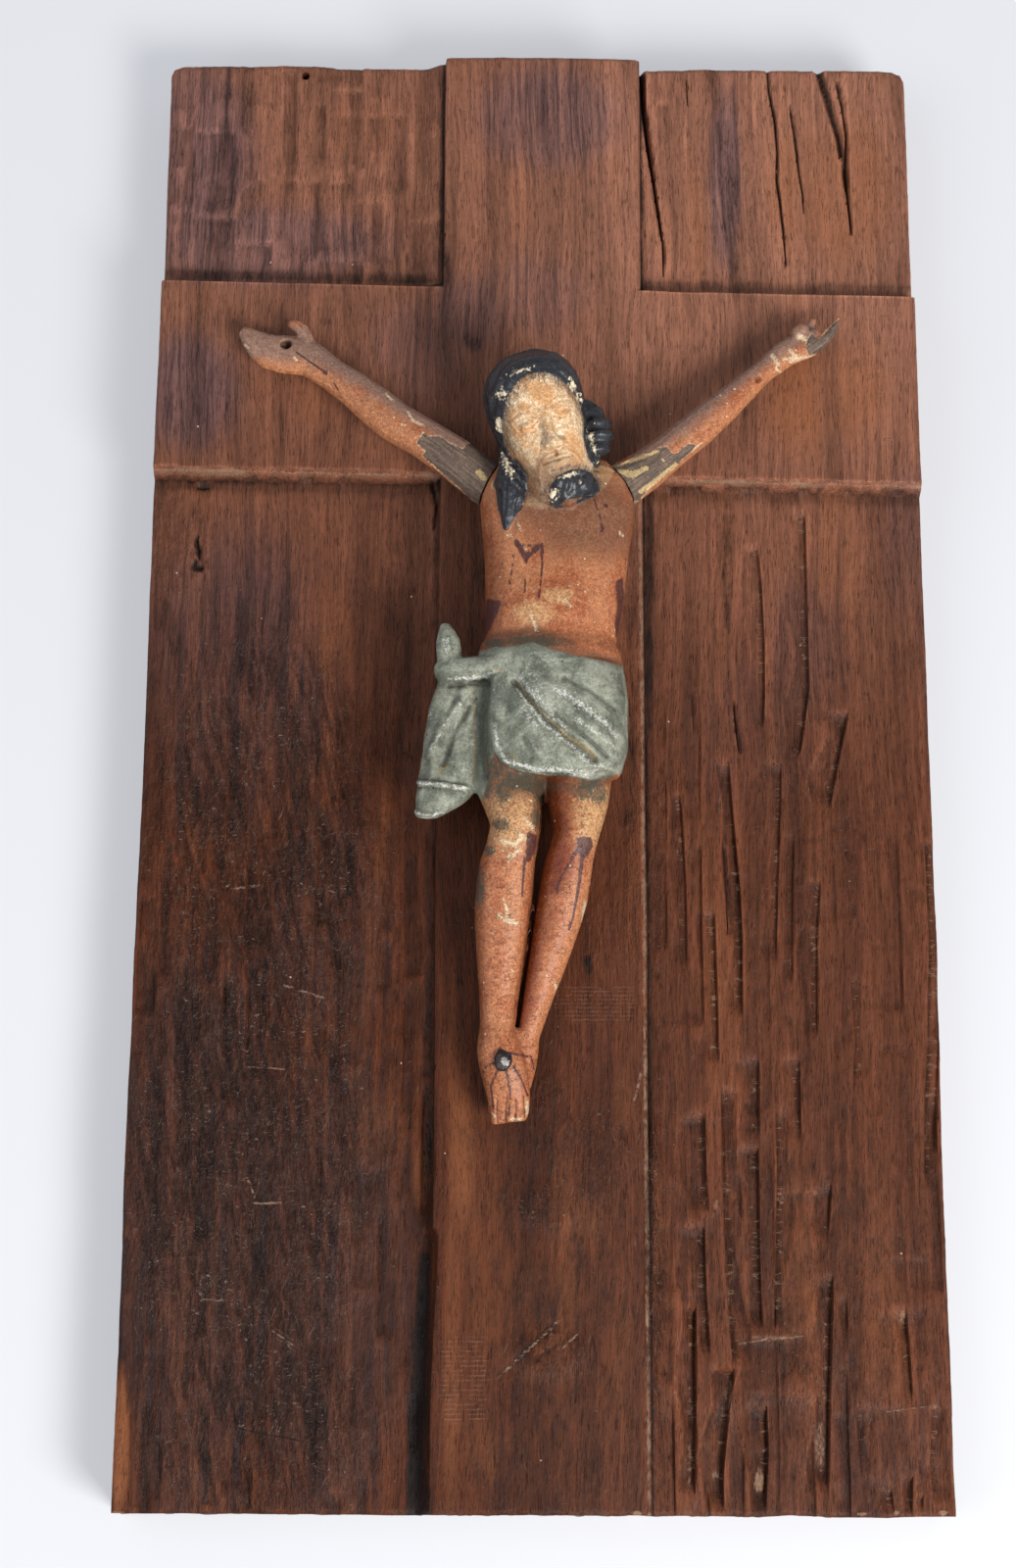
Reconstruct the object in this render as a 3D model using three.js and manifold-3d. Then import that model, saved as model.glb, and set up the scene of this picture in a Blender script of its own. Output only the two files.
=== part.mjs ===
// A carved and painted crucifix figure on its wooden panel, lying on its back.
// One thick plank carries a Latin cross in low relief. The figure is carved from one block of wood,
// its two arms are carved apart and butted to the shoulders, and one iron nail holds the feet.
// Millimetres, +Z up and out of the carved side, +Y towards the head, origin under the plank's middle.
import * as THREE from "three";
import { mergeVertices } from "three/addons/utils/BufferGeometryUtils.js";
import Module from "manifold-3d";

// The plank and the cross that is left standing on it.
const PANEL_LENGTH = 690;
const PANEL_WIDTH = 362;
const GROUND_THICKNESS = 36;
const CROSS_RELIEF = 9;
const BEAM_WIDTH = 94;
const BEAM_CENTRE_X = 2;
const BAR_WIDTH = 95;
const BAR_CENTRE_FROM_TOP = 170.5;
const BAR_SLOPE = -0.9;
const PANEL_CORNER_RADIUS = 9;
const RELIEF_CHAMFER = 1.6;
const RIM_CHAMFER = 2.2;
const RELIEF_SET_IN = 0.4;
const HANGING_HOLE_DIAMETER = 3.6;
const HANGING_HOLE_DEPTH = 24;
const HANGING_HOLE_FROM_TOP = 6;
const HANGING_HOLE_FROM_SIDE = 67;
const SPLIT_LENGTH = 84;
const SPLIT_WIDTH = 3.4;
const SPLIT_DRIFT = 9.5;
const SPLIT_OFF_BEAM = 1.5;

// The figure, from crown to toes, and where it lies on the beam.
const FIGURE_HEIGHT = 350;
const SHOULDERS_BELOW_BAR_CENTRE = 62.5;
const FIGURE_OFF_BEAM_CENTRE = -2;
const SEAT_GAP = 0.3;
const SHOULDER_GAP = 0.4;
const HEAD_TILT = 19;
const HEAD_TURN = -3;
const HEAD_NOD = 20;
const RIGHT_ARM_LIFT = 37;
const RIGHT_JOINT_LIFT = 28;
const LEFT_ARM_LIFT = 42;
const LEFT_JOINT_LIFT = 35;
const PALM_HOLE_DIAMETER = 3.8;

// The nail through both feet.
const NAIL_DIAMETER = 3.6;
const NAIL_HEAD_DIAMETER = 7.6;
const NAIL_HEAD_HEIGHT = 2.6;
const NAIL_BITE = 22;
const NAIL_CLEARANCE = 0.3;

const CROSS_TOP = GROUND_THICKNESS + CROSS_RELIEF;
const FOOT_Y = -PANEL_LENGTH / 2;
const BAR_CENTRE_Y = PANEL_LENGTH / 2 - BAR_CENTRE_FROM_TOP;
const HALF_TURN = 180;
const PERCENT = FIGURE_HEIGHT / 100;
const HEAD_PERCENT = 0.203 * PERCENT;
const SQUARE = 90;

const wasm = await Module();
wasm.setup();

const radians = (degrees) => (degrees * Math.PI) / HALF_TURN;

// A closed three.js geometry as a manifold solid, moved by a matrix if one is given.
function solid(geometry, matrix) {
  const bare = geometry.clone();
  bare.deleteAttribute("normal");
  bare.deleteAttribute("uv");
  if (matrix) bare.applyMatrix4(matrix);
  const merged = mergeVertices(bare, 1e-4);
  const vertProperties = new Float32Array(merged.attributes.position.array);
  const triVerts = new Uint32Array(merged.index.array);
  return new wasm.Manifold(new wasm.Mesh({ numProp: 3, vertProperties, triVerts }));
}

// A manifold solid as a named three.js mesh.
function meshOf(name, made, color, roughness, metalness = 0) {
  const data = made.getMesh();
  const geometry = new THREE.BufferGeometry();
  geometry.setAttribute("position", new THREE.BufferAttribute(data.vertProperties, 3));
  geometry.setIndex(new THREE.BufferAttribute(data.triVerts, 1));
  const material = new THREE.MeshStandardMaterial({ color, roughness, metalness });
  const mesh = new THREE.Mesh(geometry, material);
  mesh.name = name;
  return mesh;
}

const join = (parts) => parts.reduce((whole, part) => whole.add(part));
const cut = (whole, tools) => tools.reduce((rest, tool) => rest.subtract(tool), whole);

// Catmull-Rom value between rows b and c of a table, at share t.
function between(a, b, c, d, t) {
  return b.map((_, i) => {
    const slopeIn = (c[i] - a[i]) / 2;
    const slopeOut = (d[i] - b[i]) / 2;
    const rise = c[i] - b[i];
    const square = 3 * rise - 2 * slopeIn - slopeOut;
    const cube = slopeIn + slopeOut - 2 * rise;
    return b[i] + t * (slopeIn + t * (square + t * cube));
  });
}

// Rows of a table with `steps` smooth rows in each span.
function smooth(rows, steps) {
  const made = [];
  for (let i = 0; i + 1 < rows.length; i++) {
    const before = rows[Math.max(i - 1, 0)];
    const after = rows[Math.min(i + 2, rows.length - 1)];
    for (let k = 0; k < steps; k++) made.push(between(before, rows[i], rows[i + 1], after, k / steps));
  }
  made.push(rows[rows.length - 1]);
  return made;
}

// A closed shell over rings of points that turn anticlockwise seen from its far end, with a tip at each end.
function shell(rings, nearTip, farTip) {
  const sides = rings[0].length;
  const last = rings.length - 1;
  const faces = [];
  for (let r = 0; r < last; r++) {
    for (let k = 0; k < sides; k++) {
      const a = r * sides + k;
      const b = r * sides + ((k + 1) % sides);
      faces.push(a, b, a + sides, b, b + sides, a + sides);
    }
  }
  const near = rings.length * sides;
  for (let k = 0; k < sides; k++) {
    const next = (k + 1) % sides;
    faces.push(near, next, k, near + 1, last * sides + k, last * sides + next);
  }
  const points = [...rings.flat(), nearTip, farTip].flatMap((point) => point.toArray());
  const geometry = new THREE.BufferGeometry();
  geometry.setAttribute("position", new THREE.Float32BufferAttribute(points, 3));
  geometry.setIndex(faces);
  return solid(geometry);
}

// A limb or trunk through oval rings. A row is [along Y, centre X, centre Z, half width, front, back],
// in units of `unit`. `square` is 2 for an oval and more for a fuller section.
function skin(rows, unit, { sides = 16, steps = 2, square = 2.2 } = {}) {
  const path = smooth(rows, steps).map((row) => row.map((value) => value * unit));
  const power = (value) => Math.sign(value) * Math.abs(value) ** (2 / square);
  const turnWay = path[0][0] < path[path.length - 1][0] ? -1 : 1;
  const rings = path.map(([y, x, z, half, front, back]) =>
    Array.from({ length: sides }, (_, k) => {
      const turn = (turnWay * 2 * Math.PI * k) / sides;
      const depth = Math.sin(turn) > 0 ? front : back;
      return new THREE.Vector3(x + half * power(Math.cos(turn)), y, z + depth * power(Math.sin(turn)));
    }),
  );
  const tip = ([y, x, z]) => new THREE.Vector3(x, y, z);
  return shell(rings, tip(path[0]), tip(path[path.length - 1]));
}

// An oval lump: centre and radii in units of `unit`.
function lump([x, y, z], [rx, ry, rz], unit, sides = 8) {
  const place = new THREE.Matrix4().makeTranslation(x * unit, y * unit, z * unit);
  place.scale(new THREE.Vector3(rx * unit, ry * unit, rz * unit));
  return solid(new THREE.SphereGeometry(1, sides, Math.round(sides * 0.65)), place);
}

// A tapering ridge or roll with round ends along a few points, each [x, y, z, radius] in units of `unit`.
function roll(points, unit, sides = 6, steps = 2) {
  const path = smooth(points, steps).map((row) => row.map((value) => value * unit));
  const spots = path.map(([x, y, z]) => new THREE.Vector3(x, y, z));
  const whole = spots[spots.length - 1].clone().sub(spots[0]);
  const steep = Math.abs(whole.z) > whole.length() / 2;
  const up = steep ? new THREE.Vector3(0, 1, 0) : new THREE.Vector3(0, 0, 1);
  const ring = (spot, along, radius) => {
    const side = along.clone().cross(up).normalize();
    const normal = side.clone().cross(along);
    return Array.from({ length: sides }, (_, k) => {
      const turn = (2 * Math.PI * k) / sides;
      const point = spot.clone().addScaledVector(normal, radius * Math.cos(turn));
      return point.addScaledVector(side, radius * Math.sin(turn));
    });
  };
  const alongAt = (i) => {
    const next = spots[Math.min(i + 1, spots.length - 1)];
    return next.clone().sub(spots[Math.max(i - 1, 0)]).normalize();
  };
  const rings = spots.map((spot, i) => ring(spot, alongAt(i), path[i][3]));
  const ends = [0, spots.length - 1].map((i, far) => {
    const along = alongAt(i);
    const radius = path[i][3];
    const way = far ? 1 : -1;
    const beyond = (share) => spots[i].clone().addScaledVector(along, way * share * radius);
    return { ring: ring(beyond(0.6), along, 0.75 * radius), tip: beyond(0.95) };
  });
  return shell([ends[0].ring, ...rings, ends[1].ring], ends[0].tip, ends[1].tip);
}

// A box given by two corners.
function block([x0, y0, z0], [x1, y1, z1]) {
  const box = new THREE.BoxGeometry(x1 - x0, y1 - y0, z1 - z0);
  return solid(box, new THREE.Matrix4().makeTranslation((x0 + x1) / 2, (y0 + y1) / 2, (z0 + z1) / 2));
}

// A round bar along Z between two heights.
function bar(x, y, z0, z1, radius, sides = 16) {
  const place = new THREE.Matrix4().makeTranslation(x, y, (z0 + z1) / 2);
  place.multiply(new THREE.Matrix4().makeRotationX(Math.PI / 2));
  return solid(new THREE.CylinderGeometry(radius, radius, z1 - z0, sides), place);
}

// A slab from an outline, standing from z0, with a chamfer round its upper edge.
// It is extruded from below z0, where its other chamfer is cut away.
function slab(outline, z0, z1, chamfer) {
  const settings = {
    depth: z1 - z0 + chamfer,
    bevelEnabled: true,
    bevelThickness: chamfer,
    bevelSize: chamfer,
    bevelOffset: -chamfer,
    bevelSegments: 2,
    curveSegments: 4,
  };
  const place = new THREE.Matrix4().makeTranslation(0, 0, z0 - 2 * chamfer);
  const raised = solid(new THREE.ExtrudeGeometry(outline, settings), place);
  const far = 2 * PANEL_LENGTH;
  return raised.intersect(block([-far, -far, z0], [far, far, far]));
}

// The rectangle of the plank with its upper corners worn round.
function panelOutline() {
  const half = PANEL_WIDTH / 2;
  const top = PANEL_LENGTH / 2;
  const r = PANEL_CORNER_RADIUS;
  const outline = new THREE.Shape();
  outline.moveTo(-half, FOOT_Y);
  outline.lineTo(half, FOOT_Y);
  outline.lineTo(half, top - r);
  outline.absarc(half - r, top - r, r, 0, Math.PI / 2, false);
  outline.lineTo(-half + r, top);
  outline.absarc(-half + r, top - r, r, Math.PI / 2, Math.PI, false);
  outline.lineTo(-half, FOOT_Y);
  return outline;
}

// The cross runs out to just short of the plank's four edges, and its bar slopes a little.
function crossOutline() {
  const half = PANEL_WIDTH / 2 - RELIEF_SET_IN;
  const top = PANEL_LENGTH / 2 - RELIEF_SET_IN;
  const foot = FOOT_Y + RELIEF_SET_IN;
  const left = BEAM_CENTRE_X - BEAM_WIDTH / 2;
  const right = BEAM_CENTRE_X + BEAM_WIDTH / 2;
  const barEdge = (x, side) => BAR_CENTRE_Y + (side * BAR_WIDTH) / 2 + x * Math.tan(radians(BAR_SLOPE));
  const onBar = (x, side) => [x, barEdge(x, side)];
  const corners = [
    [left, foot], [right, foot], onBar(right, -1), onBar(half, -1), onBar(half, 1), onBar(right, 1),
    [right, top], [left, top], onBar(left, 1), onBar(-half, 1), onBar(-half, -1), onBar(left, -1),
  ];
  return new THREE.Shape(corners.map(([x, y]) => new THREE.Vector2(x, y)));
}

// Long gouge cuts in the ground: [x, upper y, lower y, width, depth, drift of the lower end],
// x as a share of the half width, y as shares of the half length, the rest in millimetres.
const GOUGES = [
  [0.515, -0.44, -0.99, 8.5, 4.2, 4],
  [0.43, -0.7, -0.97, 6.5, 3.2, 0],
  [0.61, -0.38, -0.74, 7, 3.4, 1],
  [0.665, -0.45, -0.74, 5.5, 2.8, 0],
  [0.6, -0.84, -1.0, 8, 3.8, -2],
  [0.8, -0.62, -0.96, 7, 3.4, 0],
  [0.735, -0.2, -0.5, 7.5, 3, 0],
  [0.955, -0.25, -0.6, 6, 3, 0],
  [0.97, -0.7, -0.86, 7, 3.4, 0],
  [0.66, 0.28, 0.06, 7, 3, 0],
  [0.82, 0.34, 0.1, 7, 3, 0],
  [0.56, 0.03, -0.14, 6, 3, 1.5],
  [0.39, -0.01, -0.14, 6, 2.6, 0.5],
  [0.68, -0.15, -0.3, 6, 2.6, 0],
  [0.73, 0.98, 0.72, 9, 3.6, 8],
  [0.6, 0.97, 0.72, 7, 3, 4],
];

function gouges() {
  const half = PANEL_WIDTH / 2;
  const reach = PANEL_LENGTH / 2;
  return GOUGES.map(([x, upper, lower, width, depth, drift]) => {
    const middle = (upper + lower) / 2;
    const span = ((upper - lower) / 2) * reach;
    const lean = (Math.atan2(drift, 2 * span) * HALF_TURN) / Math.PI;
    const place = new THREE.Matrix4().makeTranslation(x * half, middle * reach, GROUND_THICKNESS);
    place.multiply(new THREE.Matrix4().makeRotationZ(radians(lean)));
    place.scale(new THREE.Vector3(width / 2, span, depth));
    return solid(new THREE.SphereGeometry(1, 8, 8), place);
  });
}

// A drying split beside the beam at the plank's head.
function split() {
  const x = BEAM_CENTRE_X + BEAM_WIDTH / 2 + SPLIT_OFF_BEAM;
  const top = PANEL_LENGTH / 2;
  const wedge = new THREE.Shape();
  wedge.moveTo(x, top + 1);
  wedge.lineTo(x + SPLIT_WIDTH, top + 1);
  wedge.lineTo(x + SPLIT_DRIFT, top - SPLIT_LENGTH);
  const settings = { depth: 2 * CROSS_RELIEF, bevelEnabled: false };
  const place = new THREE.Matrix4().makeTranslation(0, 0, GROUND_THICKNESS - CROSS_RELIEF);
  return solid(new THREE.ExtrudeGeometry(wedge, settings), place);
}

function hangingHole() {
  const x = -PANEL_WIDTH / 2 + HANGING_HOLE_FROM_SIDE;
  const y = PANEL_LENGTH / 2 - HANGING_HOLE_FROM_TOP;
  return bar(x, y, GROUND_THICKNESS - HANGING_HOLE_DEPTH, CROSS_TOP, HANGING_HOLE_DIAMETER / 2, 12);
}

function panel(nailHole) {
  const ground = cut(slab(panelOutline(), 0, GROUND_THICKNESS, RIM_CHAMFER), gouges());
  const cross = slab(crossOutline(), GROUND_THICKNESS - 2 * RIM_CHAMFER, CROSS_TOP, RELIEF_CHAMFER);
  const carved = join([ground, cross]);
  return cut(carved, [split(), hangingHole(), nailHole]);
}

// From here on the rows are in hundredths of the figure's height, from the toes at 0 to the crown at 100,
// X to the viewer's right of the beam, Z out from the beam's face.
const TORSO = [
  [48, 1.8, 6.0, 9.0, 6.6, 5.9],
  [54.6, 1.8, 6.2, 9.2, 6.9, 6.1],
  [60.9, 1.3, 6.1, 8.6, 6.5, 5.8],
  [65.5, 2.0, 6.1, 8.8, 6.8, 5.4],
  [69.5, 2.2, 6.2, 9.1, 6.3, 5.6],
  [74, 2.35, 6.3, 9.4, 6.2, 5.8],
  [79, 2.5, 6.5, 10.0, 6.3, 6.3],
  [83.5, 2.4, 6.4, 10.2, 5.2, 6.2],
  [86, 2.1, 6.2, 8.6, 3.9, 5.2],
  [87.2, 1.9, 6.2, 6.4, 2.6, 3.8],
];
const NECK = [
  [82, 1.6, 6.4, 5.0, 3.6, 4.4],
  [86, 1.2, 7.4, 4.0, 3.6, 4.0],
  [90.5, 0.7, 9.2, 3.7, 3.6, 4.0],
];
const RIGHT_LEG = [
  [54, -2.6, 6.0, 4.4, 5.8, 5.6],
  [46, -3.4, 6.6, 4.6, 5.4, 5.4],
  [41.8, -3.6, 7.6, 4.3, 4.8, 4.9],
  [36.8, -2.8, 9.2, 3.2, 4.0, 3.8],
  [32.3, -3.8, 8.7, 3.5, 3.5, 4.0],
  [27.2, -4.3, 7.6, 3.6, 3.4, 4.0],
  [21.5, -4.6, 6.5, 3.1, 3.0, 3.4],
  [15.5, -4.9, 5.5, 2.35, 2.5, 2.5],
  [11, -5.1, 5.1, 2.1, 2.4, 2.4],
];
const LEFT_LEG = [
  [54, 5.6, 6.0, 4.4, 5.8, 5.6],
  [45, 5.1, 6.4, 4.4, 5.0, 5.2],
  [39.5, 5.05, 7.4, 3.75, 4.2, 4.4],
  [36, 4.8, 8.2, 3.0, 3.6, 3.6],
  [32.5, 3.85, 7.6, 3.1, 3.2, 3.6],
  [27.5, 3.05, 6.5, 3.2, 3.0, 3.7],
  [22, 1.75, 5.2, 2.75, 2.7, 3.1],
  [15.8, -0.1, 3.9, 2.2, 2.3, 2.3],
  [11, -1.5, 3.3, 1.9, 2.0, 2.0],
];
const UPPER_FOOT = [
  [12.5, -5.1, 5.2, 1.9, 2.2, 2.4],
  [9.8, -4.9, 5.3, 2.6, 2.7, 2.8],
  [7, -4.3, 5.0, 2.95, 2.9, 2.7],
  [4, -3.6, 4.3, 2.8, 2.4, 2.3],
  [1.4, -3.4, 3.7, 2.4, 1.6, 1.9],
  [0.5, -3.4, 3.6, 2.0, 1.1, 1.4],
];
const LOWER_FOOT = [
  [12.5, -1.5, 3.4, 1.8, 1.9, 1.9],
  [9.5, -2.0, 2.9, 2.3, 2.3, 2.4],
  [6.5, -2.7, 2.6, 2.5, 2.2, 2.3],
  [3.6, -3.6, 2.3, 2.5, 1.7, 2.0],
  [1.6, -3.9, 2.1, 2.1, 1.3, 1.7],
];
const TOES = [-5.2, -4.25, -3.4, -2.6, -1.75];
const WRAP = [
  [61.4, 1.3, 6.2, 8.8, 6.6, 5.8],
  [59.4, 1.5, 6.3, 9.4, 7.4, 6.1],
  [54, 1.9, 6.4, 9.7, 7.8, 6.3],
  [47.5, 1.9, 6.5, 9.6, 7.6, 6.1],
  [44.2, 1.6, 6.5, 9.0, 6.6, 5.4],
];
const APRON = [
  [57.6, 2.8, 8.0, 7.8, 6.2, 3],
  [53, 2.8, 8.2, 8.4, 6.6, 3],
  [47, 2.6, 8.4, 8.5, 6.4, 3],
  [43.4, 2.4, 8.6, 7.9, 5.2, 3],
];
const DRAPE = [
  [57, -8.8, 8.2, 3.6, 1.8, 2.0],
  [52.6, -10.4, 7.8, 3.6, 1.8, 2.0],
  [46.5, -10.9, 7.3, 3.9, 1.9, 2.0],
  [42.2, -11.5, 7.2, 3.9, 1.9, 2.0],
  [40, -12.6, 7.1, 2.9, 1.6, 1.8],
  [38.4, -14.1, 7.0, 1.4, 1.1, 1.2],
];

function feet() {
  const toes = TOES.map((x, i) =>
    lump([x, 0.75 + 0.12 * i, 4.1 + 0.08 * i], [0.5 + 0.06 * i, 1.0, 0.95], PERCENT),
  );
  const upper = skin(UPPER_FOOT, PERCENT, { sides: 14 });
  const lower = skin(LOWER_FOOT, PERCENT, { sides: 12 });
  return join([upper, lower, ...toes]);
}

function legs() {
  return join([skin(RIGHT_LEG, PERCENT, { sides: 14 }), skin(LEFT_LEG, PERCENT, { sides: 14 })]);
}

// A shoulder's joint face stands square to `face`, and its arm runs out at `arm`, both degrees above level.
// `side` is 1 towards the viewer's left and -1 towards the right.
const RIGHT_SHOULDER = { at: [-6.25, 83.65, 6.3], side: 1, face: RIGHT_JOINT_LIFT, arm: RIGHT_ARM_LIFT };
const LEFT_SHOULDER = { at: [10.65, 83.75, 6.3], side: -1, face: LEFT_JOINT_LIFT, arm: LEFT_ARM_LIFT };
const JOINT_CUT = FIGURE_HEIGHT / 6;

// The block on one side of a joint face, in a frame at the joint whose +Y runs out at `lift`.
function jointSide({ side, face }, lift, outward) {
  const place = new THREE.Matrix4().makeRotationZ(side * radians(lift - face));
  const reach = outward ? (JOINT_CUT - SHOULDER_GAP) / 2 : (SHOULDER_GAP - JOINT_CUT) / 2;
  place.multiply(new THREE.Matrix4().makeTranslation(0, reach, 0));
  return solid(new THREE.BoxGeometry(JOINT_CUT, JOINT_CUT, JOINT_CUT), place);
}

function torso() {
  const cuts = [RIGHT_SHOULDER, LEFT_SHOULDER].map((shoulder) =>
    jointSide(shoulder, SQUARE, true).translate(shoulder.at.map((value) => value * PERCENT)),
  );
  return cut(skin(TORSO, PERCENT, { sides: 22, steps: 1, square: 2.5 }), cuts);
}

// The cloth round the hips: a wrap, an apron over it with slanting folds, and a knot at the viewer's left
// with one short end up and one long end hanging.
function loincloth() {
  const folds = [
    [[-2.6, 57.5, 13.2, 0.8], [2.2, 52.6, 14.2, 1.3], [6.6, 47.2, 13.1, 1.2], [8.6, 44.2, 11.2, 0.8]],
    [[0.6, 58.2, 13.2, 0.6], [5.4, 54.0, 13.6, 1.2], [9.4, 49.4, 11.2, 1.2]],
    [[4.2, 58.6, 12.4, 0.7], [8.0, 56.0, 11.6, 1.1], [10.6, 53.2, 9.0, 0.9]],
    [[-4.6, 54.6, 12.3, 0.6], [-4.7, 49.0, 12.4, 0.9], [-2.6, 44.4, 12.2, 0.7]],
    [[-0.6, 50.0, 14.2, 0.5], [0.8, 44.4, 13.2, 0.9]],
  ].map((path) => roll(path, PERCENT));
  const hem = roll(
    [[-4.4, 45.0, 11.2, 0.7], [-0.8, 43.5, 13.0, 0.8], [4.0, 43.4, 13.0, 0.8], [8.8, 44.5, 10.4, 0.8]],
    PERCENT,
  );
  const knot = roll([[-12.0, 57.2, 9.0, 1.6], [-9.2, 57.1, 9.8, 1.7], [-5.0, 57.2, 11.4, 1.5]], PERCENT, 9);
  const thumb = [[-11.3, 58.6, 8.8, 1.7], [-11.6, 61.2, 8.7, 1.6], [-11.9, 63.0, 8.6, 0.9]];
  const shortEnd = roll(thumb, PERCENT, 9);
  const longEndFolds = [
    [[-10.6, 55.6, 9.4, 0.5], [-12.6, 49.0, 8.7, 0.8], [-13.6, 42.6, 8.6, 0.7]],
    [[-9.2, 55.4, 9.9, 0.5], [-10.6, 48.6, 9.1, 0.7], [-10.8, 43.0, 8.8, 0.6]],
    [[-13.4, 52.2, 7.6, 0.7], [-12.9, 53.6, 7.9, 0.6]],
    [[-14.8, 42.2, 8.5, 0.5], [-12.2, 41.6, 9.0, 0.55], [-9.4, 41.4, 8.7, 0.5]],
  ].map((path) => roll(path, PERCENT, 5));
  return join([
    skin(WRAP, PERCENT, { sides: 20, steps: 1, square: 2.5 }),
    skin(APRON, PERCENT, { sides: 20, square: 2.6 }),
    skin(DRAPE, PERCENT, { sides: 12 }),
    ...folds,
    hem,
    knot,
    shortEnd,
    ...longEndFolds,
  ]);
}

// The head in its own frame, in hundredths of its height: chin at 0, crown at 100, face towards +Z.
const SKULL = [
  [3, 0, 17, 8, 9, 8],
  [10, 0, 13, 15, 17, 16],
  [24, 0, 6, 21, 29, 26],
  [38, 0, 1, 24.5, 34, 32],
  [52, 0, -1, 26, 35, 36],
  [66, 0, -2, 27, 36, 36],
  [78, 0, -3, 25.5, 33, 34],
  [87, 0, -4, 20, 26, 28],
];
const HAIR = [
  [18, 0, -14, 22, 14, 20],
  [34, 0, -12, 26, 20, 27],
  [52, 0, -9, 29, 27, 32],
  [66, 0, -7, 30.5, 33, 35],
  [80, 0, -5, 29.5, 36, 35.5],
  [92, 0, -5, 22, 27, 27],
  [99, 0, -5, 9, 11, 11],
];
const HEAD_CENTRE = [0.5, 89.3, 12.0];

function head() {
  const unit = HEAD_PERCENT;
  const pair = (make) => [-1, 1].map(make);
  const sockets = pair((side) => lump([11.5 * side, 53, 40], [7.5, 5, 9], unit));
  const lids = pair((side) => lump([11.2 * side, 52.4, 28.6], [5.8, 3.6, 5], unit));
  const brows = pair((side) =>
    roll([[4 * side, 58.5, 33, 2.4], [12 * side, 60.5, 30.6, 2.6], [20 * side, 57.5, 22.5, 2]], unit),
  );
  const nose = roll([[0, 58, 33.5, 2.6], [0, 46, 38, 3.4], [0, 39, 41, 4.2]], unit, 8);
  const nostrils = pair((side) => lump([4.2 * side, 37.8, 36], [3.2, 3, 4.4], unit, 6));
  const lips = [lump([0, 29.6, 33.8], [8.2, 1.9, 3.4], unit), lump([0, 26.2, 33], [6.9, 2.2, 3.6], unit)];
  const beard = roll(
    [
      [-23, 42, 0, 3.5], [-20, 24, 11, 5], [-12, 9, 22, 6.5], [0, 4, 26, 7.5],
      [12, 9, 22, 6.5], [20, 24, 11, 5], [23, 42, 0, 3.5],
    ],
    unit,
    6,
    1,
  );
  const chin = lump([0, 13, 28], [9, 8, 7], unit);
  const faceWindow = lump([0, 46, 42], [24, 35, 38], unit, 12);
  const hair = cut(skin(HAIR, unit), [faceWindow]);
  const bare = cut(skin(SKULL, unit), sockets);
  const knob = lump([17, 90, 7], [5, 4, 6], unit, 6);
  const whole = join([bare, hair, ...lids, ...brows, nose, ...nostrils, ...lips, beard, chin, knob]);
  const place = new THREE.Matrix4().makeTranslation(...HEAD_CENTRE.map((value) => value * PERCENT));
  place.multiply(new THREE.Matrix4().makeRotationZ(radians(HEAD_TILT)));
  place.multiply(new THREE.Matrix4().makeRotationX(radians(HEAD_NOD)));
  place.multiply(new THREE.Matrix4().makeRotationY(radians(HEAD_TURN)));
  place.multiply(new THREE.Matrix4().makeTranslation(0, -50 * HEAD_PERCENT, 0));
  return whole.transform(place.toArray());
}

// Two locks that fall to the shoulders: a flat leaf at the viewer's left, a coiled one at the right.
function locks() {
  const leaf = [
    [-3.8, 86.4, 10.6, 1.5],
    [-3.4, 82.4, 11.3, 2.0],
    [-3.6, 79.0, 11.7, 1.4],
    [-4.3, 75.9, 11.7, 0.4],
  ];
  const coil = [
    [5.4, 93.0, 9.6, 1.3],
    [7.2, 90.8, 10.4, 1.8],
    [7.6, 88.2, 10.9, 1.8],
    [7.0, 85.9, 11.0, 1.0],
  ];
  return [roll(leaf, PERCENT), roll(coil, PERCENT, 8)];
}

const NAIL_SPOT = [-4.25, 7.2];

function nailHoleThrough(z0, z1) {
  const [x, y] = NAIL_SPOT.map((value) => value * PERCENT);
  return bar(x, y, z0, z1, NAIL_DIAMETER / 2 + NAIL_CLEARANCE);
}

const NAIL_SEAT = 7.9 * PERCENT;

// The body: head, trunk, cloth, legs and feet from one block, dressed flat where it lies on the beam.
function body() {
  const whole = join([torso(), skin(NECK, PERCENT), head(), ...locks(), legs(), feet(), loincloth()]);
  const far = 2 * FIGURE_HEIGHT;
  const seat = block([-far, -far, -far], [far, far, 0]);
  const [x, y] = NAIL_SPOT.map((value) => value * PERCENT);
  const headSeat = bar(x, y, NAIL_SEAT, FIGURE_HEIGHT, NAIL_HEAD_DIAMETER / 2 + NAIL_CLEARANCE);
  return cut(whole, [seat, nailHoleThrough(-1, FIGURE_HEIGHT), headSeat]);
}

// The arms run along +Y from the joint face, the side towards the head being +X for the viewer's left arm
// and -X for the right one. The viewer's left hand is whole but worn to a mitten and pierced by a nail hole.
const RIGHT_ARM = [
  [-4, 0, 0, 3.0, 3.0, 3.0],
  [0, -0.1, 0, 2.95, 3.0, 3.0],
  [6, 0.1, -0.1, 2.85, 2.9, 2.9],
  [11, 0, -0.4, 2.65, 2.6, 2.7],
  [15.5, -0.3, -0.9, 2.75, 2.5, 2.6],
  [19, 0, -1.4, 2.75, 2.3, 2.5],
  [23.2, 0.35, -1.9, 2.4, 2.1, 2.2],
  [27, 0.45, -2.5, 2.15, 1.9, 2.0],
  [30.3, 0.6, -3.0, 2.45, 1.7, 1.7],
  [33, -0.1, -3.3, 3.3, 1.6, 1.6],
  [35.3, -1.3, -3.5, 2.8, 1.5, 1.5],
  [37.5, -1.85, -3.6, 2.1, 1.4, 1.4],
  [39.4, -1.75, -3.6, 1.4, 1.2, 1.3],
  [40.8, -1.6, -3.6, 0.7, 0.8, 0.8],
];
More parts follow.
